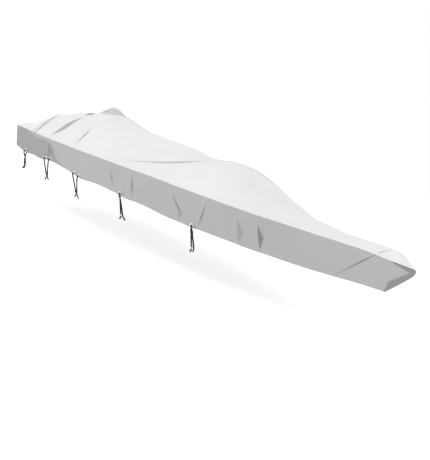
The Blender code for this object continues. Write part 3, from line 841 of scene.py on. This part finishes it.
def modified(mesh, modifiers):
    """A new mesh with the given modifiers worked into it."""
    helper = bpy.data.objects.new(mesh.name, mesh)
    scene.collection.objects.link(helper)
    for kind, settings in modifiers:
        modifier = helper.modifiers.new(kind.lower(), kind)
        for name, value in settings.items():
            setattr(modifier, name, value)
    bpy.context.view_layer.update()
    ready = helper.evaluated_get(bpy.context.evaluated_depsgraph_get())
    made = bpy.data.meshes.new_from_object(ready)
    bpy.data.objects.remove(helper)
    made.shade_smooth()
    return made


def reworked(mesh, work):
    """Opens a mesh for some work on its faces, and puts the result back."""
    bm = bmesh.new()
    bm.from_mesh(mesh)
    work(bm)
    bm.to_mesh(mesh)
    bm.free()


# %% [markdown]
# ## Eyelets
#
# An eyelet is two washers rolled together through the cloth, a flat ring with a groove that grips the
# cloth. So its profile is an ellipse with a slot in the outer side, and a Screw modifier turns it.

# %% Roll the eyelets
GROOVE = CLOTH / 2 + 0.0002
RING_HEIGHT = 0.0045
BARREL = 0.0145
RING_POINTS = 26
TURN_STEPS = 40
TURN_SHARP = math.radians(50)


def turned(name, profile, closed):
    """A mesh turned round its Z axis from a profile of (radius, height) points."""
    mesh = bpy.data.meshes.new(name)
    links = [(n, n + 1) for n in range(len(profile) - 1)]
    if closed:
        links.append((len(profile) - 1, 0))
    mesh.from_pydata([(r, 0, z) for r, z in profile], links, [])
    screw = {"steps": TURN_STEPS, "render_steps": TURN_STEPS, "use_merge_vertices": True}
    made = modified(mesh, [("SCREW", {**screw, "merge_threshold": 0.00002})])
    made.set_sharp_from_angle(angle=TURN_SHARP)
    return made


def axis_matrix(middle, axis):
    """A placement at middle with the local Z axis along axis."""
    aim = Vector((0, 0, 1)).rotation_difference(Vector(axis)).to_matrix().to_4x4()
    return Matrix.Translation(Vector(middle)) @ aim


def turned_pieces(kind, solid, slot, profile, closed, seats):
    """A turned piece at each seat, a middle and an axis, and at its mirror image."""
    made = {}
    for letter, turn in SIDES:
        for label, (middle, axis) in seats.items():
            mesh = turned(f"{solid}_{letter}{label}", profile, closed)
            new = piece(f"{kind}_{letter}{label}", mesh, slot, f"{solid}_{letter}{label}")
            new.matrix_world = axis_matrix(flipped(middle, turn), flipped(axis, turn))
            made[letter, label] = new
    return made


lip = math.asin(GROOVE / RING_HEIGHT)
ring_profile = [(BARREL, -GROOVE), (BARREL, GROOVE)] + [
    (RING_RADIUS + RING_WIRE * math.cos(a), RING_HEIGHT * math.sin(a))
    for a in np.linspace(lip, 2 * math.pi - lip, RING_POINTS)
]
ring_seats = {label: (middle, out) for label, (middle, _, out) in EYELETS.items()}
rings = turned_pieces("grommet", "eyelet", "ring_metal", ring_profile, True, ring_seats)
print(len(rings), "eyelets of", len(rings["s", "1"].data.polygons), "faces each")

# %% [markdown]
# ## Studs
#
# A stud has two heads with a shank between them, and each leg of the cord lies in the groove beside
# the shank. It is turned like the eyelets: a slightly domed head with a rolled edge and a moulded
# dimple is drawn once, and the other head is its mirror image.

# %% Turn the studs
DIMPLE = ((0, 0.0012), (0.25, 0.0010), (0.36, 0.0))  # share of the head's radius, and how far sunk
EDGE_ROLL = 0.25
EDGE_DROP = 0.45
EDGE_POINTS = 7
UNDERCUT = ((0.98, 0.15), (0.90, 0.0))  # shares of the head's radius and depth

seat = CORD_RADIUS + CORD_SEAT
head = [(r, STUD_HEAD_DEPTH - sunk) for r, sunk in DIMPLE]
for a in np.linspace(0, math.pi / 2, EDGE_POINTS):
    height = (1 - EDGE_DROP) * STUD_HEAD_DEPTH + EDGE_DROP * STUD_HEAD_DEPTH * math.cos(a)
    head.append((1 - EDGE_ROLL + EDGE_ROLL * math.sin(a), height))
head += [(r, share * STUD_HEAD_DEPTH) for r, share in UNDERCUT]
upper = [(r * STUD_HEAD, seat + z) for r, z in head] + [(STUD_SHANK, seat)]
stud_profile = upper + [(r, -z) for r, z in upper[::-1]]
stud_seats = {number: (middle, axis) for number, (_, middle, axis) in ROUTES.items()}
studs = turned_pieces("toggle", "stud", "white_plastic", stud_profile, False, stud_seats)
print(len(studs), "studs of", len(studs["s", 1].data.polygons), "faces each")

# %% [markdown]
# ## Braided ties
#
# In a round braid, strands cross over and under all the way round. A plain tube would look like wire,
# so the tube's radius rises where a strand passes over. Its rings keep their turn from one to the
# next, or the braid would wind round the bends.

# %% Braid the ties
CORD_SIDES = 20
STRANDS = 4
BRAID_PITCH = 0.030
BRAID_DEPTH = 0.09
END_DOME = 0.6 * CORD_RADIUS  # a cord's end is rounded over this length
END_LEAST = 0.02  # the share of its radius that is left at the tip
START_SIDE = (0.31, 0.77, 0.55)  # any direction that isn't a cord's own


def ring_frames(path):
    """Two directions across the path at each of its points, carried along without twisting."""
    tangents = np.gradient(path, axis=0)
    tangents /= np.linalg.norm(tangents, axis=1)[:, None]
    side = unit(np.cross(tangents[0], START_SIDE))
    sides = []
    for tangent in tangents:
        side = unit(side - np.dot(side, tangent) * tangent)
        sides.append(side)
    sides = np.array(sides)
    return sides, np.cross(tangents, sides)


def braid_mesh(name, path):
    along = np.concatenate([[0], np.cumsum(steps_of(path))])[:, None]
    around = np.arange(CORD_SIDES)[None] / CORD_SIDES * 2 * math.pi
    wind = 2 * math.pi * along / BRAID_PITCH
    crown = np.maximum(abs(np.cos(STRANDS / 2 * around + wind)), abs(np.cos(STRANDS / 2 * around - wind)))
    to_end = np.minimum(along, along[-1] - along)
    dome = np.sqrt(1 - np.clip(1 - to_end / END_DOME, 0, 1) ** 2)
    radius = CORD_RADIUS * (1 - BRAID_DEPTH + BRAID_DEPTH * crown) * np.maximum(dome, END_LEAST)
    first, second = ring_frames(path)
    points = (
        path[:, None]
        + (radius * np.cos(around))[..., None] * first[:, None]
        + (radius * np.sin(around))[..., None] * second[:, None]
    )
    return grid_mesh(name, points, {"crown": crown}, wrap=True)


def close_ends(bm):
    """Fills the two small rings that are left at a tube's ends."""
    bmesh.ops.holes_fill(bm, edges=[e for e in bm.edges if e.is_boundary])
    bmesh.ops.recalc_face_normals(bm, faces=bm.faces)


for letter, turn in SIDES:
    for tie in TIES:
        path = flipped(ROUTES[tie.number][0], turn)
        name = f"tie_{letter}{tie.number}"
        mesh = braid_mesh(name, path)
        reworked(mesh, close_ends)
        cord = piece(f"cord_{letter}{tie.number}", mesh, "black_cord", name)

# %% [markdown]
# ## Cloth as fine sheets
#
# A panel is a thin sheet that bends everywhere, so each is a fine grid of points through the surfaces
# above, with a little extra drape, and the Solidify modifier thickens it inwards. Rows are closest at
# sewn edges and hems, where the cloth is folded over and steps up. Sewn panels overlap: the top's
# edge turns down over the skirts, and the bow band laps over their ends.

# %% Extra drape
DRAPE_SEED = 7
DRAPE_WAVES = 18


def drape(along, across, shortest, longest, slant):
    """Random soft ripples of unit height. A slant of 0 makes all of them run across the panel."""
    dice = np.random.default_rng(DRAPE_SEED)
    total = 0.0
    for _ in range(DRAPE_WAVES):
        wave = dice.uniform(shortest, longest)
        angle = dice.uniform(-slant, slant) * math.pi / 2
        phase = dice.uniform(0, 2 * math.pi)
        way = along * math.cos(angle) + across * math.sin(angle)
        total = total + np.sin(2 * math.pi / wave * way + phase)
    return total / math.sqrt(DRAPE_WAVES)


def ease(distance, over):
    """0 at a distance of 0, and 1 from the given distance on, with no corner between."""
    share = np.clip(distance / over, 0, 1)
    return share * share * (3 - 2 * share)


print(f"tallest ripple {drape(np.linspace(0, 5, 999), 0, 0.3, 0.9, 0.2).max():.2f}")

# %% From a grid to a cloth piece
CLOTH_SHARP = math.radians(55)


def strip(start, end, count):
    """Values from start up to but not including end."""
    return np.linspace(start, end, count, endpoint=False)


def cloth_grid(name, points, along, across, edge, in_shade_patch=-1.0, kept=None):
    """A sheet's mesh, with the measures that its finish reads."""
    measures = {"along": along, "across": across, "edge": edge, "in_shade_patch": in_shade_patch}
    return grid_mesh(name, points, measures, kept=kept)


def cloth_piece(name, mesh, slot, solid, mirrored=False):
    """A sheet with its thickness, and with its mirror image joined on where it has one."""
    steps = [("SOLIDIFY", {"thickness": CLOTH, "offset": -1, "use_even_offset": True})]
    if mirrored:
        steps.insert(0, ("MIRROR", {"use_axis": (False, True, False), "merge_threshold": 0.0002}))
    made = modified(mesh, steps)
    made.set_sharp_from_angle(angle=CLOTH_SHARP)
    made.calc_loop_triangles()
    print(f"{name}: {len(made.loop_triangles)} triangles")
    return piece(name, made, slot, solid)


print(f"cloth {1000 * CLOTH:.0f} mm thick")

# %% [markdown]
# ## The top panel
#
# One panel covers the whole deck, painted pale as the lit top of the cloth. Its rim is folded under
# and stitched down twice, which leaves a flat raised border, and then it turns down over the tops of
# the skirts as a short lip.

# %% Rows and columns of the top panel
RIM = (0.0, 0.002, 0.0155, 0.018, 0.021, 0.035)  # rows near the rim, measured in from it
RIM_RISE = (1, 1, 1, 0, 0, 0)
RIM_STEP = 0.0009
RIM_FULL = 0.20  # the rows crowd together where the panel's half-breadth is less than this
LIP = ((0.0012, 0.0003), (0.0020, 0.0010), (SEAM_DROP, 0.0024), (SEAM_DROP, 0.0095))  # out, down
TOP_ROWS = 372
TOP_COLUMNS = 104
TOP_DRAPE = 0.0022
TOP_RIPPLES = (0.28, 0.90, 1.0)  # shortest, longest and slant
TOP_CALM = 0.02  # the ripples grow from nothing over this share of the length


def top_grid():
    """Places, sides, the border's rise and the distance from the rim, for each point of the panel."""
    rim = np.array(RIM)
    places = np.concatenate([rim[:-1] / LENGTH, np.linspace(rim[-1] / LENGTH, 1, TOP_ROWS)])
    half = section("half", places)[:, None]
    inset = rim / np.maximum(half, RIM_FULL)
    share = np.linspace(1, -1, TOP_COLUMNS)[1:-1]
    middle = (1 - inset[:, -1:]) * share
    sides = np.hstack([1 - inset, middle, inset[:, ::-1] - 1])
    rise = np.array(RIM_RISE + (0,) * len(share) + RIM_RISE[::-1])
    stern_rise = np.array(RIM_RISE + (0,) * (len(places) - len(RIM)))
    edge = np.minimum((1 - abs(sides)) * half, LENGTH * places[:, None])
    return places[:, None], sides, np.maximum(rise, stern_rise[:, None]) * RIM_STEP, edge


def top_surface(places, sides, rise):
    """Points of the panel without its lips."""
    points = top_point(places, sides)
    x, y = points[..., 0], points[..., 1]
    free = 1 - abs(sides) ** FOLD_FADE
    ripples = TOP_DRAPE * drape(x, y, *TOP_RIPPLES) * ease(places, TOP_CALM)
    points[..., 2] += (crease_relief(x, y, top_creases) + ripples) * free + rise
    return points


def lip_columns(place):
    """The lip's points along the starboard side, from the rim down."""
    depth = skirt_depth(place)
    return np.stack([side_point(place, drop / depth) + out * outward(place) for out, drop in LIP], 1)


places, sides, rise, edge = top_grid()
print("the top panel has", sides.size, "points inside its rim")

# %% Sew up the top panel
starboard = lip_columns(places[:, 0])
surface = np.hstack([flipped(starboard, -1)[:, ::-1], top_surface(places, sides, rise), starboard])
lip_edge = np.array([out + drop for out, drop in LIP])
beside = np.tile(lip_edge, (len(places), 1))
edge = np.hstack([beside[:, ::-1], edge, beside])
stern_lip = np.stack([surface[0] - (out, 0, drop) for out, drop in LIP[::-1]])
count = len(LIP)
stern_lip[:, :count, 2] = np.minimum(stern_lip[:, count : count + 1, 2], surface[0, :count, 2])
stern_lip[:, -count:, 2] = np.minimum(stern_lip[:, -count - 1 : -count, 2], surface[0, -count:, 2])
surface = np.vstack([stern_lip, surface])
edge = np.vstack([np.tile(lip_edge[::-1, None], (1, edge.shape[1])), edge])
top_mesh = cloth_grid("top_panel", surface, surface[..., 0], surface[..., 1], edge)
top = cloth_piece("top_sheet", top_mesh, "pale_cloth", "top_panel")

# %% [markdown]
# ## The side skirts
#
# A skirt hangs from the rim, stands out in pleats where the ties pull, and ends in a hem: the edge
# is turned up and stitched twice, so it is thicker and steps out. An eyelet needs a round opening.
# A Boolean would lose the measures that the finish reads, so planes cut the cloth round each
# opening and the faces inside are deleted.

# %% Rows and columns of a side skirt
HEM = (0.046, 0.0435, 0.040, 0.036, 0.030, 0.022, 0.014, 0.006, 0.002, 0.0)  # rows above the hem
HEM_RISE = (0, 1, 1, 1, 1, 1, 1, 1, 1, 0.6)
HEM_STEP = 0.0008
SKIRT_COLUMNS = 441
SKIRT_ROWS = 20
SKIRT_DRAPE = 0.0028
SKIRT_RIPPLES = (0.13, 0.55, 0.25)
END_EASE = 0.10
CORNER_LAP = 0.013
HEM_ENDS = 1.5 * CORNER_LAP  # the hem isn't turned up this near to a skirt's ends
HEM_EASE = 10 * HEM_STEP
RIPPLE_DEPTH = 0.30  # the ripples grow from nothing over this depth
CREASE_DEPTH = 0.04
LAP_FROM = 0.012  # a lap starts below the top panel's lip
LAP_EASE = 0.006
FRONT_FADE = 20  # exponent with which the front edge's shape dies out along the skirt
ARM_START = 0.961
ARM_DEPTH = 0.155
BAND_NECK = 0.0030
BAND_WIDTH = 0.0105
BAND_WIDEST = 0.63
BAND_FOOT = 0.0010
BAND_START = 1 - BAND_NECK

SHADE_PATCH = table(
    "place down",  # the patch of painted shade at the stern lies below this line
    (0.000, 0.00), (0.041, 0.04), (0.075, 0.14), (0.092, 0.20), (0.128, 0.17), (0.150, 0.17),
    (0.164, 0.32), (0.175, 0.50), (0.182, 0.72), (0.191, 0.83), (0.205, 0.90), (0.240, 1.08),
)


def band_edge(q):
    """The place of the bow band's edge beside the stem, at a share q of the skirt below the arm."""
    return 1 - np.interp(q, (0, BAND_WIDEST, 1), (BAND_NECK, BAND_WIDTH, BAND_FOOT))


def arm_drop(place):
    """How far down the band's arm reaches at a place, in metres."""
    return ARM_DEPTH * np.clip((place - ARM_START) / (BAND_START - ARM_START), 0, 1) * skirt_depth(place)


def skirt_grid():
    """Places and drops in metres of a side skirt's points, with the hem's step."""
    columns = np.linspace(0, 1, SKIRT_COLUMNS)[:, None]
    q = np.concatenate([strip(0, 1, SKIRT_ROWS), np.ones(len(HEM))])
    straight = SEAM_DROP / LENGTH + columns * (BAND_START - SEAM_DROP / LENGTH) + 0 * q
    places = straight
    for _ in range(2):
        depth = skirt_depth(places)
        start = np.maximum(SEAM_DROP, arm_drop(places)) + GAP
        drops = start + (depth - HEM[0] - start) * q
        drops[:, SKIRT_ROWS:] = depth[:, SKIRT_ROWS:] - np.array(HEM)
        share = (drops - start) / (depth - start)
        places = straight - (BAND_START - band_edge(share) + GAP / LENGTH) * columns**FRONT_FADE
    rise = np.array((0,) * SKIRT_ROWS + HEM_RISE) * HEM_STEP
    inset = np.minimum(places, BAND_START - places) * LENGTH - HEM_ENDS
    return places, drops, rise * ease(inset, HEM_EASE)


places, drops, rise = skirt_grid()
print("a side skirt has", places.size, "points")

# %% Openings for the eyelets
OPENING = 0.0155
OPENING_FLATS = 16
OPENING_REACH = 2.2 * OPENING


def cut_opening(bm, middle, axis):
    """Cuts a round opening for an eyelet, with flats too short to see."""
    middle, axis = Vector(middle), Vector(axis)
    sideways = axis.orthogonal().normalized()
    faces = [f for f in bm.faces if (f.calc_center_median() - middle).length < OPENING_REACH]
    parts = set(faces)
    for face in faces:
        parts.update(face.edges)
        parts.update(face.verts)
    parts = list(parts)
    for n in range(OPENING_FLATS):
        normal = Matrix.Rotation(2 * math.pi * n / OPENING_FLATS, 3, axis) @ sideways
        cut = bmesh.ops.bisect_plane(bm, geom=parts, plane_co=middle + OPENING * normal, plane_no=normal)
        parts = cut["geom"]
    inside = []
    for face in parts:
        if isinstance(face, bmesh.types.BMFace):
            away = face.calc_center_median() - middle
            if (away - away.dot(axis) * axis).length < OPENING:
                inside.append(face)
    bmesh.ops.delete(bm, geom=inside, context="FACES")


def cut_openings(bm, turn):
    for middle, _, out in EYELETS.values():
        cut_opening(bm, flipped(middle, turn), flipped(out, turn))


print(f"openings {2000 * OPENING:.0f} mm across")

# %% Hang the side skirts
EYELET_EASE = 0.055
HEM_CLEAR = 0.3  # the hem has its whole step where the cloth is this clear of an eyelet


def clear_of_eyelets(points):
    """0 at each eyelet, where the cloth must lie still in its groove, and 1 away from them."""
    clear = np.ones(points.shape[:2])
    for middle, _, _ in EYELETS.values():
        clear = clear * ease(np.linalg.norm(points - middle, axis=-1) - 2 * BARREL, EYELET_EASE)
    return clear


downs = drops / skirt_depth(places)
still = ease(places * LENGTH, END_EASE) * ease((BAND_START - places) * LENGTH, END_EASE)
along = places * LENGTH
ripples = SKIRT_DRAPE * drape(along, drops, *SKIRT_RIPPLES) * ease(drops, RIPPLE_DEPTH) * still
relief = crease_relief(along, drops, skirt_creases) * ease(drops, CREASE_DEPTH)
clear = clear_of_eyelets(side_point(places, downs))
skirt = side_point(places, downs, (ripples + relief) * clear + rise * ease(clear, HEM_CLEAR))
edge = skirt_depth(places) - drops
# how far each point lies inside the patch of painted shade at the stern
in_shade_patch = drops - np.interp(places, column(SHADE_PATCH, "place"), column(SHADE_PATCH, "down")) * skirt_depth(places)
for letter, turn in SIDES:
    side = {"s": "starboard", "p": "port"}[letter]
    mesh = cloth_grid(f"side_skirt_{side}", flipped(skirt, turn), along, drops, edge, in_shade_patch)
    if turn < 0:
        mesh.flip_normals()
    reworked(mesh, lambda bm: cut_openings(bm, turn))
    sheet = cloth_piece(f"skirt_{side}", mesh, "grey_cloth", f"side_skirt_{side}")
    own = [ring for (owner, _), ring in rings.items() if owner == letter]

# %% [markdown]
# ## The stern skirt
#
# The stern skirt closes the cover behind. It hangs almost flat, and its ends turn forward round the
# corners over the side skirts, so its grid gets a few columns more at each end.

# %% Stern skirt
STERN_COLUMNS = 150
STERN_ROWS = 18
STERN_RIPPLES = (0.16, 0.60, 0.25)
STERN_RIPPLE_DEPTH = 0.25
LAP_REACHES = (0.15, 0.5, 1.0)  # shares of the lap, for the columns that go round a corner


def stern_point(share, drop):
    """A point of the stern skirt's outer face."""
    q = (drop - SEAM_DROP) / (STERN_DEPTH - SEAM_DROP)
    rim = top_point(0, share) - (0, 0, SEAM_DROP)
    corner = side_point(0.0, 1.0)
    hem = np.stack(np.broadcast_arrays(corner[0], -share * corner[1], corner[2]), -1)
    return rim + (hem - rim) * q[..., None]


shares = np.linspace(1, -1, STERN_COLUMNS)[:, None]
hem_drops = STERN_DEPTH - np.array(HEM)
drops = np.concatenate([np.linspace(SEAM_DROP, hem_drops[0], STERN_ROWS), hem_drops[1:]])
drops = np.broadcast_to(drops, (STERN_COLUMNS, len(drops)))
along = np.broadcast_to(stern_flat(shares, 1.0)[0], drops.shape)
still = ease((1 - abs(shares)) * SECTIONS[0].half, END_EASE)
bulge = SKIRT_DRAPE * drape(along, drops, *STERN_RIPPLES) * ease(drops, STERN_RIPPLE_DEPTH) * still
bulge = bulge + crease_relief(along, drops, skirt_creases) * still * ease(drops, CREASE_DEPTH)
bulge[:, STERN_ROWS:] += np.array(HEM_RISE[1:]) * HEM_STEP
stern = stern_point(np.broadcast_to(shares, drops.shape), drops)
stern[..., 0] -= bulge
laps = []
for reach in LAP_REACHES:
    lap = CORNER_LAP * reach * ease(drops[0] - LAP_FROM, LAP_EASE)
    out = SEAM_DROP * min(1, 2 * reach) * ease(drops[0] - LAP_FROM + LAP_EASE, LAP_EASE)
    laps.append(side_point(lap / LENGTH, drops[0] / STERN_DEPTH, out))
starboard = np.stack(laps)
stern = np.vstack([flipped(starboard, -1)[::-1], stern, starboard])
wrap = len(laps)
drops = np.vstack([drops[:wrap], drops, drops[:wrap]])
ends = CORNER_LAP * np.linspace(1 / wrap, 1, wrap)[:, None]
along = np.vstack([along[:wrap] + ends[::-1], along, along[-wrap:] - ends])
stern_mesh = cloth_grid("stern_skirt", stern, along, drops, STERN_DEPTH - drops)
stern_sheet = cloth_piece("skirt_stern", stern_mesh, "grey_cloth", "stern_skirt")

# %% [markdown]
# ## The bow band
#
# The band is a darker cloth round the stem. It runs a little way back under the rim as two tapering
# arms, and its edges lap over the skirts. Half of it is a grid with the corner below the arm left out,
# and a Mirror modifier gives the other half.

# %% Bow band
BAND_LAP = 0.009
LAP_SETBACK = 0.004  # the band has risen over the skirt's edge this far before it
ARM_COLUMNS = 24
NOSE_COLUMNS = 12
BAND_ROWS = 22
FLUSH_LEVEL = 6  # the last row that lies flush with the skirt, before the band rises over it
LINE_LEVEL = 7  # the row over the skirt's own edge
LAP_LEVEL = 8  # the arm's lower edge, from which the other rows go on down the stem


def band_half():
    """Places, drops, lifts and distances from the edge of the starboard half, from rim to hem."""
    arm = strip(ARM_START, BAND_START - BAND_LAP / LENGTH, ARM_COLUMNS)
    fore = np.linspace(0, 1, NOSE_COLUMNS)
    shares = [0.0] * LAP_LEVEL + list(np.linspace(0, 1, BAND_ROWS + 1))
    rows = []
    for level, q in enumerate(shares):
        border = band_edge(q)
        inner = border + LAP_SETBACK / LENGTH
        places = np.concatenate([arm, [border - BAND_LAP / LENGTH, border], inner + (1 - inner) * fore])
        reach = arm_drop(places)
        line = np.maximum(reach, SEAM_DROP)
        lowest = line + BAND_LAP * ease(reach - LAP_FROM, LAP_EASE)
        setback = np.maximum(line - LAP_SETBACK, SEAM_DROP)
        below = lowest + (skirt_depth(places) - lowest) * q
        flush = SEAM_DROP + (setback - SEAM_DROP) * min(level / FLUSH_LEVEL, 1)
        drops = {LINE_LEVEL: line, LAP_LEVEL: lowest}.get(level, flush if level < LINE_LEVEL else below)
        lifts = (level > FLUSH_LEVEL) * (places <= border)
        if level <= LAP_LEVEL:
            lifts = lifts * ease(reach - LAP_FROM + LAP_EASE, LAP_EASE)
        inside = np.maximum(lowest - drops, (places - border) * LENGTH + BAND_LAP)
        edge = np.minimum(inside, skirt_depth(places) - drops)
        rows.append((places, drops, lifts, edge))
    return np.array(rows).T.swapaxes(0, 1)


places, drops, lifts, edge = band_half()
band = side_point(places, drops / skirt_depth(places), lifts * SEAM_DROP)
column_number, level_number = np.indices((places.shape[0] - 1, places.shape[1] - 1))
kept = (level_number < LAP_LEVEL) | (column_number >= ARM_COLUMNS)
band_mesh = cloth_grid("bow_band", band, places * LENGTH, drops, edge, kept=kept)
band_sheet = cloth_piece("band_bow", band_mesh, "dark_cloth", "bow_band", mirrored=True)

# %% [markdown]
# ## Floor and light
#
# The cover is shown on a plain pale floor in a white room. Light comes from everywhere, and one big
# soft lamp high on the starboard side shades the folds. The floor glows a little, like a light table,
# so that the shadow under the cover stays pale.

# %% Floor, world and lamp
FLOOR_Z = -1.28
FLOOR_RADIUS = 60.0
FLOOR_WHITE = 0.90
FLOOR_GLOW = 0.35
ROOM = 1.0
LAMP = 0.55
LAMP_SPREAD = math.radians(25)
LAMP_FROM = (-0.2, -0.75, 0.9)

floor_mesh = bpy.data.meshes.new("floor")
reworked(floor_mesh, lambda bm: bmesh.ops.create_circle(bm, cap_ends=True, segments=96, radius=FLOOR_RADIUS))
floor = bpy.data.objects.new("floor", floor_mesh)
scene.collection.objects.link(floor)
floor.location.z = FLOOR_Z
floor_finish, _ = new_finish("floor_white", {
    "Base Color": (FLOOR_WHITE, FLOOR_WHITE, FLOOR_WHITE, 1),
    "Roughness": 0.9,
    "Specular IOR Level": 0.1,
    "Emission Color": (1, 1, 1, 1),
    "Emission Strength": FLOOR_GLOW,
})
floor_mesh.materials.append(floor_finish)

world = bpy.data.worlds.new("white_room")
world.use_nodes = True
background = world.node_tree.nodes["Background"]
background.inputs["Color"].default_value = (1, 1, 1, 1)
background.inputs["Strength"].default_value = ROOM
scene.world = world

lamp = bpy.data.objects.new("lamp", bpy.data.lights.new("lamp", "SUN"))
lamp.data.energy = LAMP
lamp.data.angle = LAMP_SPREAD
lamp.matrix_world = axis_matrix((0, 0, 3), LAMP_FROM)
scene.collection.objects.link(lamp)
scene.view_settings.view_transform = "Standard"
print("floor at", FLOOR_Z)
